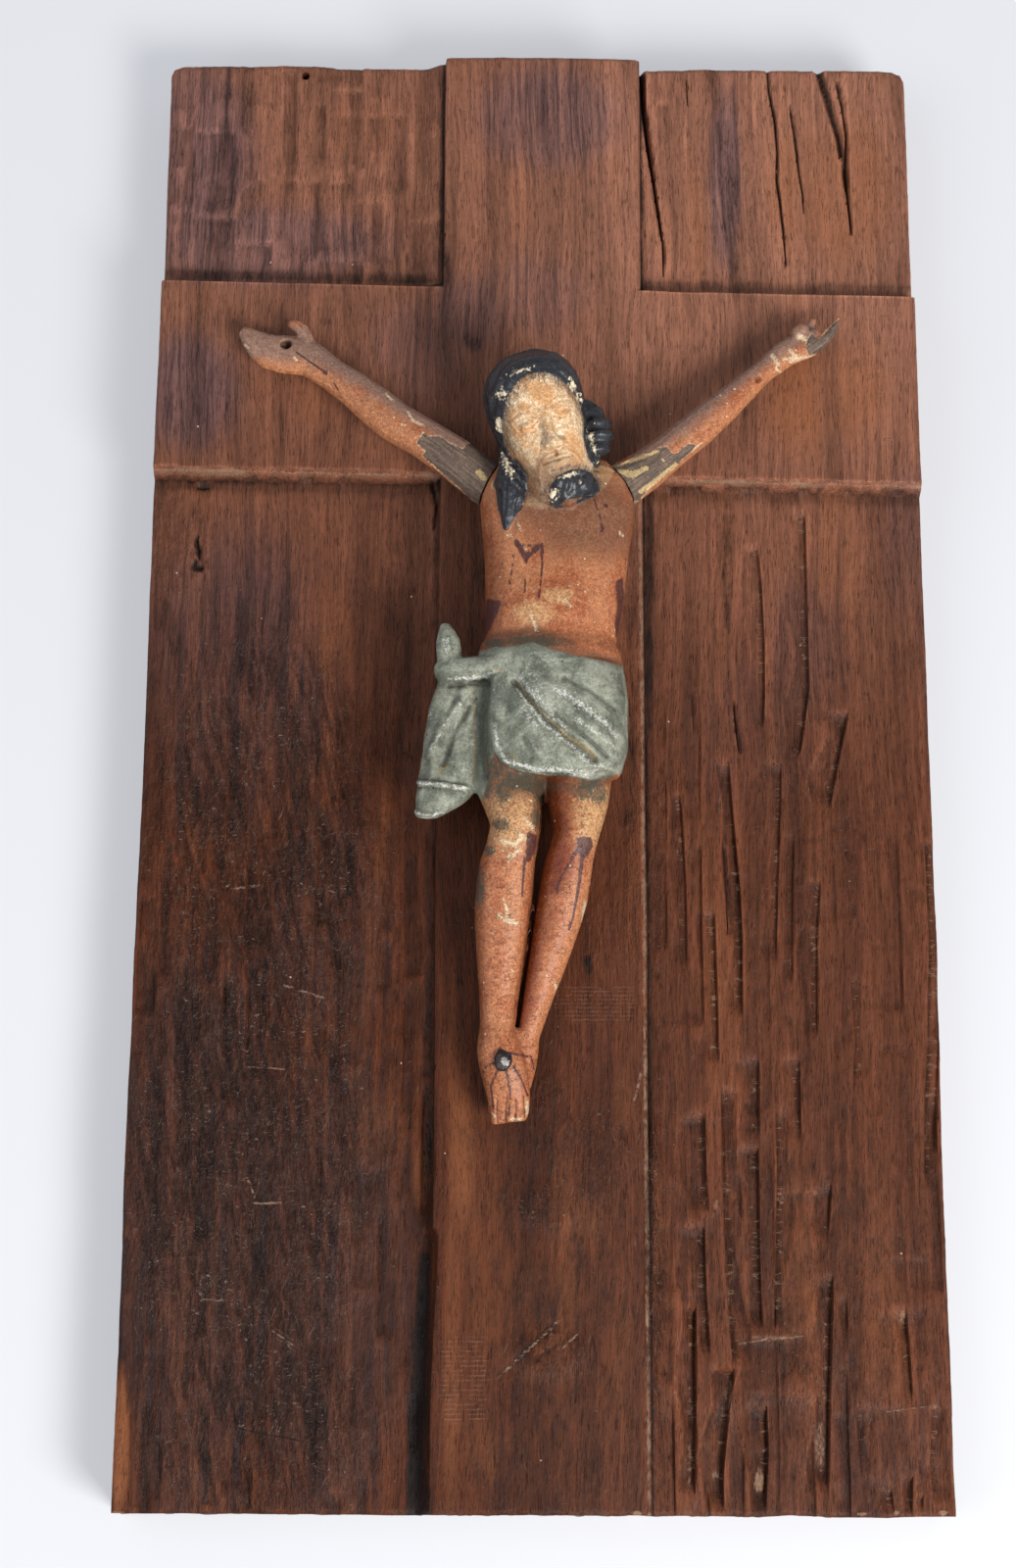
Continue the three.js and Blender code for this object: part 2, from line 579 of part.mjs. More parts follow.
const LEFT_ARM = [
  [-4, -0.2, 0, 3.3, 3.1, 3.1],
  [0, 0.1, 0, 3.1, 3.1, 3.1],
  [4.2, 0.7, -0.1, 2.65, 2.9, 2.9],
  [8.5, 0.75, -0.2, 2.42, 2.6, 2.7],
  [13.5, 0.78, -0.6, 2.4, 2.4, 2.5],
  [18.5, 0.6, -1.1, 2.1, 2.2, 2.3],
  [22.5, 0.35, -1.6, 1.75, 1.9, 2.0],
  [26, 0.1, -2.2, 1.48, 1.6, 1.7],
  [29.8, 0, -2.7, 1.8, 1.5, 1.6],
  [33.4, 0.65, -3.1, 2.1, 1.4, 1.5],
  [35.6, 1.2, -3.2, 1.5, 1.2, 1.3],
];

function rightArm() {
  const thumb = roll([[1.9, 32.0, -3.0, 1.1], [3.1, 34.3, -2.6, 1.0], [2.9, 35.6, -2.4, 0.7]], PERCENT);
  const notch = roll([[1.1, 36.5, -1.4, 0.8], [1.1, 36.5, -5.6, 0.8]], PERCENT);
  const fingerGaps = [-1.0, -1.9, -2.8].map((x) =>
    roll([[x, 37.4, -2.1, 0.16], [x + 0.3, 41.0, -2.6, 0.3]], PERCENT, 4, 1),
  );
  const [x, y] = [0.05 * PERCENT, 34.4 * PERCENT];
  const nailHole = bar(x, y, -FIGURE_HEIGHT / 10, FIGURE_HEIGHT / 10, PALM_HOLE_DIAMETER / 2, 10);
  const whole = join([skin(RIGHT_ARM, PERCENT, { sides: 14, steps: 1 }), thumb]);
  return cut(whole, [notch, ...fingerGaps, nailHole, jointSide(RIGHT_SHOULDER, RIGHT_ARM_LIFT, false)]);
}

// The other hand has lost its fingers: a broken thumb, one stub and one long splinter are left.
function leftArm() {
  const thumb = lump([-0.7, 33.4, -1.7], [1.1, 1.4, 1.1], PERCENT);
  const splinter = roll([[1.7, 34.6, -3.0, 1.3], [1.7, 37.0, -3.0, 0.8], [0.9, 39.2, -3.1, 0.25]], PERCENT);
  const stub = roll([[-0.2, 34.6, -3.4, 0.8], [-1.2, 36.6, -3.5, 0.5]], PERCENT);
  const whole = join([skin(LEFT_ARM, PERCENT, { sides: 14, steps: 1 }), thumb, splinter, stub]);
  return cut(whole, [jointSide(LEFT_SHOULDER, LEFT_ARM_LIFT, false)]);
}

// The nail: a hand-forged domed head on a round shank with a point, turned about Z.
function nail(tipZ, seatZ) {
  const r = NAIL_DIAMETER / 2;
  const headR = NAIL_HEAD_DIAMETER / 2;
  const profile = [
    [0, tipZ], [r * 0.6, tipZ + 3 * r], [r, tipZ + 6 * r], [r, seatZ], [headR, seatZ],
    [headR * 0.92, seatZ + NAIL_HEAD_HEIGHT * 0.5], [headR * 0.5, seatZ + NAIL_HEAD_HEIGHT * 0.92],
    [0, seatZ + NAIL_HEAD_HEIGHT],
  ].map(([x, z]) => new THREE.Vector2(x, z));
  const turned = new THREE.LatheGeometry(profile, 12);
  return solid(turned, new THREE.Matrix4().makeRotationX(Math.PI / 2));
}

const PAINT = "#b5643a";
const WOOD = "#4f2c1e";
const IRON = "#2b2a2c";

// The figure is set by its shoulders, a little below the bar, and lies just clear of the beam.
const shouldersY = BAR_CENTRE_Y - SHOULDERS_BELOW_BAR_CENTRE;
const toesY = shouldersY - RIGHT_SHOULDER.at[1] * PERCENT;
const figure = new THREE.Group();
figure.position.set(BEAM_CENTRE_X + FIGURE_OFF_BEAM_CENTRE, toesY, CROSS_TOP + SEAT_GAP);

figure.add(meshOf("corpus_body", body(), PAINT, 0.6));

// Places an arm at its shoulder, pointing up and out at its own lift.
function placeArm(mesh, { at, side, arm }) {
  mesh.position.set(...at.map((value) => value * PERCENT));
  mesh.rotation.z = side * radians(SQUARE - arm);
  figure.add(mesh);
}
placeArm(meshOf("right_arm", rightArm(), PAINT, 0.6), RIGHT_SHOULDER);
placeArm(meshOf("left_arm", leftArm(), PAINT, 0.6), LEFT_SHOULDER);

const nailMesh = meshOf("foot_nail", nail(-NAIL_BITE, NAIL_SEAT + NAIL_CLEARANCE), IRON, 0.45, 0.8);
nailMesh.position.set(...NAIL_SPOT.map((value) => value * PERCENT), 0);
figure.add(nailMesh);

const nailHole = nailHoleThrough(-NAIL_BITE - 2 * NAIL_CLEARANCE, NAIL_SEAT);

const group = new THREE.Group();
const panelHole = nailHole.translate(figure.position.toArray());
group.add(meshOf("cross_panel", panel(panelHole), WOOD, 0.6));
group.add(figure);

export default group;
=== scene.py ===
"""Looks of a carved and painted crucifix figure on its wooden panel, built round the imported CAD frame."""
import logging
import math
from collections.abc import Iterator
from contextlib import contextmanager
from dataclasses import dataclass, field
from enum import Enum

import bpy
import numpy as np
from mathutils import Matrix, Vector


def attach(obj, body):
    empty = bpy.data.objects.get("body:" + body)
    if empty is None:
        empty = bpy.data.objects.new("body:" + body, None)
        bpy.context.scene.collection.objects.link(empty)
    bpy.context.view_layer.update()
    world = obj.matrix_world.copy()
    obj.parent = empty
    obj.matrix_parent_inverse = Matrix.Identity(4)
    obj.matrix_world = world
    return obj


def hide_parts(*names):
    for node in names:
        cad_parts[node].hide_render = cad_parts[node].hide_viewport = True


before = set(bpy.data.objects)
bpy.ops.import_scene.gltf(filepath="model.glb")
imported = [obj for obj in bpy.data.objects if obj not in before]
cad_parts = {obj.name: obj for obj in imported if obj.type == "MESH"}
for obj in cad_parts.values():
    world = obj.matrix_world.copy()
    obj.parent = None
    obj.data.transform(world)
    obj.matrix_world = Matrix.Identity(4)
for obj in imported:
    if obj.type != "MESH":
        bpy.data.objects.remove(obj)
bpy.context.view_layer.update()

MM = 0.001
ROOT = "root"
TINY = 1e-9
log = logging.getLogger("crucifix")

Colour = tuple[float, float, float]
Path = list[tuple[float, ...]]
Strokes = list[tuple[Path, float]]
Ovals = list[tuple[float, ...]]


class Slot(Enum):
    """The material slots of the record."""

    HARDWOOD = "dark_hardwood"
    PAINT = "painted_wood"
    IRON = "iron"


@dataclass(frozen=True)
class Sight:
    """The photograph's viewpoint, which places marks seen in it on the pieces. Millimetres and pixels."""

    place: tuple[float, float, float] = (-24.3, -365.0, 1268.4)
    tilt: tuple[float, float, float] = (15.580, -0.507, 0.431)
    reach: float = 2860.6
    middle: tuple[float, float] = (518.5, 800.0)

    def turned(self) -> Matrix:
        """The camera's rotation."""
        x, y, z = (math.radians(value) for value in self.tilt)
        return Matrix.Rotation(x, 3, "X") @ Matrix.Rotation(y, 3, "Y") @ Matrix.Rotation(z, 3, "Z")

    def seen(self, points: np.ndarray) -> np.ndarray:
        """Where points in millimetres appear in the photograph, in pixels."""
        local = (points - np.array(self.place)) @ np.array(self.turned())
        share = self.reach / -local[..., 2]
        return np.stack([self.middle[0] + share * local[..., 0], self.middle[1] - share * local[..., 1]], -1)

    def laid(self, marks: np.ndarray, height: float) -> np.ndarray:
        """Where marks of the photograph lie on a level plane.

        Args:
            marks: pixel positions, one a row.
            height: the plane's height in millimetres.

        Returns:
            X and Y in millimetres, one a row.
        """
        x = (marks[:, 0] - self.middle[0]) / self.reach
        y = (self.middle[1] - marks[:, 1]) / self.reach
        rays = np.stack([x, y, -np.ones(len(marks))], 1) @ np.array(self.turned()).T
        drop = (height - self.place[2]) / rays[:, 2]
        return rays[:, :2] * drop[:, None] + np.array(self.place[:2])

    def traced(self, path: Path, height: float) -> tuple[np.ndarray, np.ndarray]:
        """X and Y of a path laid on a level plane, in the order of rising Y."""
        laid = self.laid(np.array(path, float), height)
        laid = laid[laid[:, 1].argsort()]
        return laid[:, 0], laid[:, 1]


SIGHT = Sight()


def eased(value: np.ndarray, low: float, high: float) -> np.ndarray:
    """A smooth step from 0 at low to 1 at high."""
    share = np.clip((value - low) / (high - low), 0.0, 1.0)
    return share * share * (3.0 - 2.0 * share)


def ridge(value: np.ndarray, middle: float, reach: float) -> np.ndarray:
    """A bell curve of height 1 round a middle."""
    return np.exp(-((value - middle) / reach) ** 2)


@dataclass(frozen=True)
class Grit:
    """Seeded value noise on a lattice."""

    seed: int

    def hashed(self, cell: np.ndarray) -> np.ndarray:
        """A number from 0 to 1 for each lattice cell."""
        mixed = cell[..., 0] * 374761393 + cell[..., 1] * 668265263 + cell[..., 2] * 1440662683
        mixed = (mixed + self.seed * 97531) & 0xFFFFFFFF
        mixed = ((mixed ^ (mixed >> 13)) * 1274126177) & 0xFFFFFFFF
        return ((mixed ^ (mixed >> 16)) & 0xFFFFFF) / float(0xFFFFFF)

    def at(self, points: np.ndarray, size: tuple[float, float, float]) -> np.ndarray:
        """Smooth noise from -1 to 1 at positions, with a lattice cell's size along each axis."""
        spot = points / np.array(size)
        cell = np.floor(spot).astype(np.int64)
        share = spot - cell
        share = share * share * (3.0 - 2.0 * share)
        total = np.zeros(points.shape[:-1])
        for corner in range(8):
            step = np.array([corner & 1, (corner >> 1) & 1, corner >> 2])
            total += np.prod(np.where(step == 1, share, 1.0 - share), axis=-1) * self.hashed(cell + step)
        return 2.0 * total - 1.0

    def layered(self, points: np.ndarray, size: tuple[float, float, float], rounds: int = 3) -> np.ndarray:
        """Noise summed over ever finer lattices, from about -1 to 1."""
        total = np.zeros(points.shape[:-1])
        for step in range(rounds):
            finer = tuple(value / 2.03**step for value in size)
            total += Grit(self.seed + 17 * step).at(points, finer) / 2.0**step
        return total / 1.4

    def over(self, u: np.ndarray, v: np.ndarray | float, long: float, wide: float,
             rounds: int = 3) -> np.ndarray:
        """Layered noise over a level grid.

        Args:
            u: the places' first coordinate.
            v: their second one.
            long: a lattice cell's size along the first.
            wide: its size along the second.
            rounds: how many lattices are summed.

        Returns:
            One value for each place.
        """
        return self.layered(np.stack([u, v + 0.0 * u, 0.0 * u], -1), (long, wide, 1.0), rounds)


def to_run(spots: np.ndarray, start: np.ndarray, end: np.ndarray) -> tuple[np.ndarray, np.ndarray]:
    """How far along a straight run each spot is, from 0 to 1, and its distance to the run."""
    run = end - start
    share = np.clip(((spots - start) @ run) / max(run @ run, TINY), 0.0, 1.0)
    return share, np.linalg.norm(spots - start - share[..., None] * run, axis=-1)


def along(spots: np.ndarray, path: Path) -> np.ndarray:
    """How far inside a stroke each spot is.

    Args:
        spots: positions.
        path: position and half width of the stroke's corners.

    Returns:
        1 on the stroke's middle, 0 at its edge, falling to -3 outside.
    """
    best = np.full(spots.shape[:-1], -3.0)
    for (*start, w0), (*end, w1) in zip(path[:-1], path[1:]):
        share, away = to_run(spots, np.array(start), np.array(end))
        best = np.maximum(best, 1.0 - away / (w0 + share * (w1 - w0)))
    return best


def within(spots: np.ndarray, corners: Path) -> np.ndarray:
    """Signed distance to a closed outline, above 0 inside."""
    inside = np.zeros(spots.shape[:-1], bool)
    nearest = np.full(spots.shape[:-1], 1e9)
    for (x0, y0), (x1, y1) in zip(corners, corners[1:] + corners[:1]):
        nearest = np.minimum(nearest, to_run(spots, np.array([x0, y0]), np.array([x1, y1]))[1])
        crosses = (y0 > spots[..., 1]) != (y1 > spots[..., 1])
        at_x = x0 + (x1 - x0) * (spots[..., 1] - y0) / (y1 - y0 if y1 != y0 else TINY)
        inside ^= crosses & (spots[..., 0] < at_x)
    return np.where(inside, nearest, -nearest)


def blob(spots: np.ndarray, x: float, y: float, rx: float, ry: float, lean: float = 0.0) -> np.ndarray:
    """1 in the middle of a leaning oval, 0 at its edge, below 0 outside."""
    c, s = math.cos(math.radians(lean)), math.sin(math.radians(lean))
    dx, dy = spots[..., 0] - x, spots[..., 1] - y
    return 1.0 - np.hypot((dx * c + dy * s) / rx, (dy * c - dx * s) / ry)


def stroked(spots: np.ndarray, strokes: Strokes, low: float, high: float) -> np.ndarray:
    """The most that any stroke gives each spot: its strength, eased in from low to high inside it."""
    return np.max([strength * eased(along(spots, path), low, high) for path, strength in strokes], axis=0)


def patched(spots: np.ndarray, ovals: Ovals, high: float) -> np.ndarray:
    """The most that any oval gives each spot: its strength, eased in from its edge to high inside it."""
    return np.max([strength * eased(blob(spots, *oval), 0.0, high) for *oval, strength in ovals], axis=0)


def only(piece: bpy.types.Object) -> None:
    """Makes one piece the selected and active object."""
    bpy.ops.object.select_all(action="DESELECT")
    piece.select_set(True)
    bpy.context.view_layer.objects.active = piece


@contextmanager
def editing(piece: bpy.types.Object) -> Iterator[None]:
    """Edit mode on one piece."""
    only(piece)
    bpy.ops.object.mode_set(mode="EDIT")
    yield
    bpy.ops.object.mode_set(mode="OBJECT")


def read(rows: bpy.types.bpy_prop_collection, name: str, width: int, kind: type = np.float32) -> np.ndarray:
    """A value of each element of a mesh, one element a row."""
    held = np.empty(len(rows) * width, kind)
    rows.foreach_get(name, held)
    return held.reshape(-1, width)


def spots_of(piece: bpy.types.Object) -> np.ndarray:
    """A piece's vertices in millimetres, one a row."""
    return read(piece.data.vertices, "co", 3).astype(float) / MM


def set_spots(piece: bpy.types.Object, spots: np.ndarray) -> None:
    """Moves a piece's vertices to places in millimetres."""
    piece.data.vertices.foreach_set("co", (spots * MM).astype(np.float32).ravel())
    piece.data.update()


def outward(piece: bpy.types.Object) -> np.ndarray:
    """The unit normal at each vertex."""
    return read(piece.data.vertex_normals, "vector", 3).astype(float)


def links_of(piece: bpy.types.Object) -> np.ndarray:
    """The two vertices of each edge."""
    return read(piece.data.edges, "vertices", 2, np.int32)


def relaxed(spots: np.ndarray, links: np.ndarray, rounds: int, loose: np.ndarray | float = 1.0,
            swell: float = 0.53) -> np.ndarray:
    """Smooths a mesh's places, with a swelling step that keeps its bulk.

    Args:
        spots: vertex places.
        links: the two vertices of each edge.
        rounds: how many times to smooth.
        loose: how free each vertex is, from 0 to 1.
        swell: the share of the swelling step, 0 for plain smoothing.

    Returns:
        The smoothed places.
    """
    spots = spots.copy()
    count = np.maximum(np.bincount(links.ravel(), minlength=len(spots)), 1)
    free = np.broadcast_to(loose, (len(spots),))[:, None]
    for _ in range(rounds):
        for step in ((0.5, -swell) if swell else (0.5,)):
            pulled = np.stack([
                np.bincount(links[:, 0], spots[links[:, 1], axis], len(spots))
                + np.bincount(links[:, 1], spots[links[:, 0], axis], len(spots))
                for axis in range(3)
            ], 1)
            spots += step * free * (pulled / count[:, None] - spots)
    return spots


def store(piece: bpy.types.Object, **marks: np.ndarray | float) -> None:
    """Keeps numbers for each vertex as named attributes, held to -1 to 1."""
    for name, values in marks.items():
        layer = piece.data.attributes.get(name) or piece.data.attributes.new(name, "FLOAT", "POINT")
        held = np.broadcast_to(np.clip(values, -1.0, 1.0), (len(piece.data.vertices),))
        layer.data.foreach_set("value", held.astype(np.float32))


def applied(piece: bpy.types.Object, kind: str, **settings: object) -> None:
    """Adds a modifier with its settings and applies it."""
    only(piece)
    modifier = piece.modifiers.new(kind.title(), kind)
    for name, value in settings.items():
        setattr(modifier, name, value)
    bpy.ops.object.modifier_apply(modifier=modifier.name)


def remeshed(node: str, name: str, voxel: float) -> bpy.types.Object:
    """A copy of a CAD node, merged and made of even faces about one voxel (in mm) wide."""
    piece = bpy.data.objects.new(name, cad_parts[node].data.copy())
    bpy.context.scene.collection.objects.link(piece)
    piece.data.materials.clear()
    with editing(piece):
        bpy.ops.mesh.select_all(action="SELECT")
        bpy.ops.mesh.remove_doubles(threshold=1e-6)
    applied(piece, "REMESH", mode="VOXEL", voxel_size=voxel * MM, adaptivity=0.0)
    return piece


def cylinder(spot: tuple[float, float], radius: float, low: float, high: float,
             sides: int) -> bpy.types.Object:
    """An upright cylinder, its sizes in millimetres."""
    bpy.ops.object.select_all(action="DESELECT")
    place = (spot[0] * MM, spot[1] * MM, (low + high) / 2 * MM)
    bpy.ops.mesh.primitive_cylinder_add(vertices=sides, radius=radius * MM, depth=(high - low) * MM,
                                        location=place)
    return bpy.context.object


def finished(piece: bpy.types.Object, material: bpy.types.Material, slot: Slot, node: str) -> None:
    """Dresses a piece, hangs it on the part's body and puts it in place of its CAD node."""
    piece.data.materials.clear()
    piece.data.materials.append(material)
    only(piece)
    bpy.ops.object.shade_smooth()
    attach(piece, ROOT)
    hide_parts(node)
    log.info("%s: %d faces", piece.name, len(piece.data.polygons))


class Wire:
    """A value on its way through a node tree. Arithmetic on it adds Math nodes."""

    def __init__(self, board: "Board", socket: bpy.types.NodeSocket) -> None:
        """Holds a node's output."""
        self.board = board
        self.socket = socket

    def __add__(self, other: "Wire | float") -> "Wire":
        """The sum."""
        return self.board.math("ADD", self, other)

    def __sub__(self, other: "Wire | float") -> "Wire":
        """The difference."""
        return self.board.math("SUBTRACT", self, other)

    def __rsub__(self, other: float) -> "Wire":
        """What is left of a number."""
        return self.board.math("SUBTRACT", other, self)

    def __mul__(self, other: "Wire | float") -> "Wire":
        """The product."""
        return self.board.math("MULTIPLY", self, other)

    def __rmul__(self, other: float) -> "Wire":
        """The product with a number."""
        return self.board.math("MULTIPLY", other, self)

    def __truediv__(self, other: "Wire | float") -> "Wire":
        """The quotient."""
        return self.board.math("DIVIDE", self, other)

    def __abs__(self) -> "Wire":
        """The value without its sign."""
        return self.board.math("ABSOLUTE", self)


class Board:
    """A node tree in hand: adds nodes, joins sockets and gives back the value wanted next."""

    def __init__(self, tree: bpy.types.NodeTree, ends: bpy.types.Node) -> None:
        """Takes the tree and the node that its results go into."""
        self.tree = tree
        self.ends = ends

    def put(self, socket: bpy.types.NodeSocket, value: object) -> None:
        """Joins a socket to a wire, or sets its value."""
        if isinstance(value, Wire):
            self.tree.links.new(value.socket, socket)
        elif hasattr(socket.default_value, "__len__") and len(socket.default_value) == 4 and len(value) == 3:
            socket.default_value = (*value, 1.0)
        else:
            socket.default_value = value

    def give(self, **results: object) -> None:
        """Puts results into the end node, by name, with _ for a space."""
        for name, value in results.items():
            self.put(self.ends.inputs[name.replace("_", " ")], value)

    def wires(self, kind: str, inputs: dict | None = None, **settings: object) -> dict[str, Wire]:
        """Adds a node.

        Args:
            kind: the node's type name without its ShaderNode start.
            inputs: socket name or number to a value or a wire.
            settings: the node's own properties.

        Returns:
            Its outputs by name.
        """
        node = self.tree.nodes.new("ShaderNode" + kind)
        for name, value in settings.items():
            setattr(node, name, value)
        for name, value in (inputs or {}).items():
            self.put(node.inputs[name], value)
        return {socket.name: Wire(self, socket) for socket in node.outputs if socket.enabled}

    def wire(self, kind: str, inputs: dict | None = None, **settings: object) -> Wire:
        """Adds a node as wires does, and gives its first output."""
        return next(iter(self.wires(kind, inputs, **settings).values()))

    def math(self, kind: str, a: object, b: object = 0.0, clamp: bool = False) -> Wire:
        """One step of arithmetic."""
        return self.wire("Math", {0: a, 1: b}, operation=kind, use_clamp=clamp)

    def vector(self, kind: str, a: object, b: object) -> Wire:
        """One step of arithmetic with vectors."""
        return self.wire("VectorMath", {0: a, 3 if kind == "SCALE" else 1: b}, operation=kind)

    def span(self, value: object, low: object, high: object, to_low: float = 0.0, to_high: float = 1.0,
             smooth: bool = True) -> Wire:
        """Maps a value from one range onto another, held at its ends."""
        kind = "SMOOTHSTEP" if smooth else "LINEAR"
        limits = {0: value, 1: low, 2: high, 3: to_low, 4: to_high}
        return self.wire("MapRange", limits, interpolation_type=kind)

    def line(self, value: Wire, high: float, middle: float = 0.5) -> Wire:
        """1 where a value passes its middle, 0 from high away from it."""
        return self.span(abs(value - middle), 0.0, high, 1.0, 0.0)

    def mix(self, share: object, a: object, b: object, blend: str = "MIX") -> Wire:
        """Mixes two colours."""
        return self.wire("Mix", {0: share, 6: a, 7: b}, data_type="RGBA", blend_type=blend)

    def coated(self, colour: object, *coats: tuple[object, object]) -> Wire:
        """Lays coats over a colour one after the other, each given as its mask and its colour."""
        for mask, tone in coats:
            colour = self.mix(mask, colour, tone)
        return colour

    def shaded(self, colour: Wire, tone: object) -> Wire:
        """A colour times another, or times a number."""
        if isinstance(tone, Wire) and tone.socket.type == "VALUE":
            tone = self.wire("CombineColor", {0: tone, 1: tone, 2: tone})
        return self.mix(1.0, colour, tone, "MULTIPLY")

    def noise(self, where: object, scale: float, detail: float = 3.0, rough: float = 0.55,
              bend: float = 0.0) -> Wire:
        """Noise from 0 to 1 at a scale in cells to the millimetre."""
        return self.wire("TexNoise", {"Vector": where, "Scale": scale, "Detail": detail, "Roughness": rough,
                                      "Distortion": bend})

    def stretched(self, where: object, size: tuple[float, float, float], *look: float,
                  move: tuple[float, float, float] = (0.0, 0.0, 0.0)) -> Wire:
        """Noise whose cells have their own number to the millimetre along each axis.

        Args:
            where: the coordinates.
            size: cells to the millimetre along X, Y and Z.
            look: detail, roughness and bend.
            move: shifts the noise.

        Returns:
            The noise, from 0 to 1.
        """
        mapped = self.wire("Mapping", {"Vector": where, "Scale": size, "Location": move})
        return self.noise(mapped, 1.0, *look)

    def held(self, name: str) -> Wire:
        """A number kept on the mesh."""
        return self.wires("Attribute", attribute_name=name)["Fac"]

    def object_mm(self) -> Wire:
        """The object's own coordinates, in millimetres."""
        return self.vector("SCALE", self.wires("TexCoord")["Object"], 1.0 / MM)

    def placed(self, tree: bpy.types.NodeTree, **inputs: object) -> dict[str, Wire]:
        """Puts in a shared group with its own values, and gives its results by name."""
        node = self.tree.nodes.new("ShaderNodeGroup")
        node.node_tree = tree
        for name, value in inputs.items():
            self.put(node.inputs[name], value)
        return {socket.name: Wire(self, socket) for socket in node.outputs}

    def raised(self, height: Wire, strength: float, most: float) -> None:
        """Gives the shader a bump from a height, at most so many millimetres."""
        self.give(Normal=self.wire("Bump", {"Height": height, "Strength": strength, "Distance": most * MM}))


def group(name: str, results: tuple[str, ...], vectors: tuple[str, ...] = ("Where",),
          **numbers: float) -> tuple[Board, dict[str, Wire]]:
    """Starts a shader node group.

    Args:
        name: the group's name.
        results: the names of its results, which are numbers.
        vectors: the names of its vector inputs.
        numbers: its other inputs, with their defaults.

    Returns:
        The board, and the group's inputs as wires by name.
    """
    tree = bpy.data.node_groups.new(name, "ShaderNodeTree")
    for label in vectors:
        tree.interface.new_socket(label, in_out="INPUT", socket_type="NodeSocketVector")
    for label, value in numbers.items():
        tree.interface.new_socket(label, in_out="INPUT", socket_type="NodeSocketFloat").default_value = value
    for label in results:
        tree.interface.new_socket(label, in_out="OUTPUT", socket_type="NodeSocketFloat")
    given = tree.nodes.new("NodeGroupInput")
    board = Board(tree, tree.nodes.new("NodeGroupOutput"))
    return board, {socket.name: Wire(board, socket) for socket in given.outputs if socket.name}


class Groups:
    """The effects that several finishes share, each built once."""

    def __init__(self) -> None:
        """Builds the groups."""
        self.ragged = self._ragged()
        self.crackle = self._crackle()
        self.fibres = self._fibres()
        self.specks = self._specks()
        self.scrape = self._scrape()

    @staticmethod
    def _ragged() -> bpy.types.NodeTree:
        """Turns a soft edge value into a mask with a torn outline."""
        board, given = group("ragged_edge", ("Mask",), Edge=0.0, Cells=0.6, Tear=0.5, Soft=0.08)
        torn = board.noise(given["Where"], given["Cells"], 4.0, 0.6)
        edge = given["Edge"] + (torn - 0.5) * given["Tear"]
        board.give(Mask=board.span(edge, given["Soft"] * -1.0, given["Soft"]))
        return board.tree

    @staticmethod
    def _crackle() -> bpy.types.NodeTree:
        """The net of fine cracks in old paint."""
        board, given = group("paint_crackle", ("Crack", "Plate"), Cells=0.25, Width=0.05)
        warp = board.wires("TexNoise", {"Vector": given["Where"], "Scale": 0.35, "Detail": 3.0})["Color"]
        shift = board.vector("SCALE", board.vector("SUBTRACT", warp, (0.5, 0.5, 0.5)), 6.0)
        where = board.wire("Mapping", {"Vector": board.vector("ADD", given["Where"], shift),
                                       "Scale": (0.62, 1.25, 0.9)})
        cells = {"Vector": where, "Scale": given["Cells"], "Randomness": 1.0}
        edge = board.wires("TexVoronoi", cells, feature="DISTANCE_TO_EDGE")["Distance"]
        plate = board.wires("TexVoronoi", cells, feature="F1")["Color"]
        board.give(Crack=board.span(edge, 0.0, given["Width"], 1.0, 0.0),
                   Plate=board.wire("SeparateColor", {0: plate}))
        return board.tree

    @staticmethod
    def _fibres() -> bpy.types.NodeTree:
        """Long grain along Y: fibres, open pores and broad bands."""
        board, given = group("long_grain", ("Fibre", "Pore", "Band", "Streak"), Pores=0.5)
        where = given["Where"]
        slow = board.stretched(where, (0.011, 0.0035, 0.02), 2.0)
        ripple = board.stretched(where, (0.05, 0.02, 0.05), 2.0)
        x, y, z = board.wires("SeparateXYZ", {0: where}).values()
        bent = board.wire("CombineXYZ", {0: x + ((slow - 0.5) * 20.0 + (ripple - 0.5) * 5.0), 1: y, 2: z})
        pore = board.stretched(bent, (2.6, 0.16, 2.0), 1.5, 0.5, move=(40.0, 7.0, 3.0))
        board.give(Pore=board.span(pore, 0.60, 0.74) * given["Pores"],
                   Fibre=board.stretched(bent, (1.5, 0.06, 1.0), 4.0, 0.65),
                   Band=board.stretched(bent, (0.055, 0.004, 0.06), 3.0, 0.6),
                   Streak=board.stretched(bent, (0.42, 0.010, 0.42), 4.0, 0.68))
        return board.tree

    @staticmethod
    def _specks() -> bpy.types.NodeTree:
        """Small scattered spots."""
        board, given = group("scattered_specks", ("Mask",), Cells=0.3, Size=0.2, Share=0.3)
        near = board.wires("TexVoronoi", {"Vector": given["Where"], "Scale": given["Cells"]}, feature="F1")
        part, size, _ = board.wires("SeparateColor", {0: near["Color"]}).values()
        inside = board.span(near["Distance"], 0.0, given["Size"] * size, 1.0, 0.0)
        board.give(Mask=board.math("LESS_THAN", part, given["Share"]) * board.span(inside, 0.0, 0.5))
        return board.tree

    @staticmethod
    def _scrape() -> bpy.types.NodeTree:
        """Broken scratches side by side in a narrow box."""
        board, given = group("scrape_lines", ("Mask",), ("Where", "Run", "Across"), From=0.0, Side=0.0,
                             Lines=0.5, Swing=0.0)
        run, side = (board.vector("DOT_PRODUCT", given["Where"], given[name]) for name in ("Run", "Across"))
        side = side + given["Side"] + given["Swing"] / given["Lines"]
        ends = abs(run + given["From"] + given["Swing"])
        inside = board.span(ends, 0.42, 0.52, 1.0, 0.0) * board.span(abs(side), 0.8, 1.05, 1.0, 0.0)
        lines = board.math("FRACT", side * given["Lines"])
        board.give(Mask=inside * board.span(abs(lines - 0.5), 0.24, 0.44))
        return board.tree


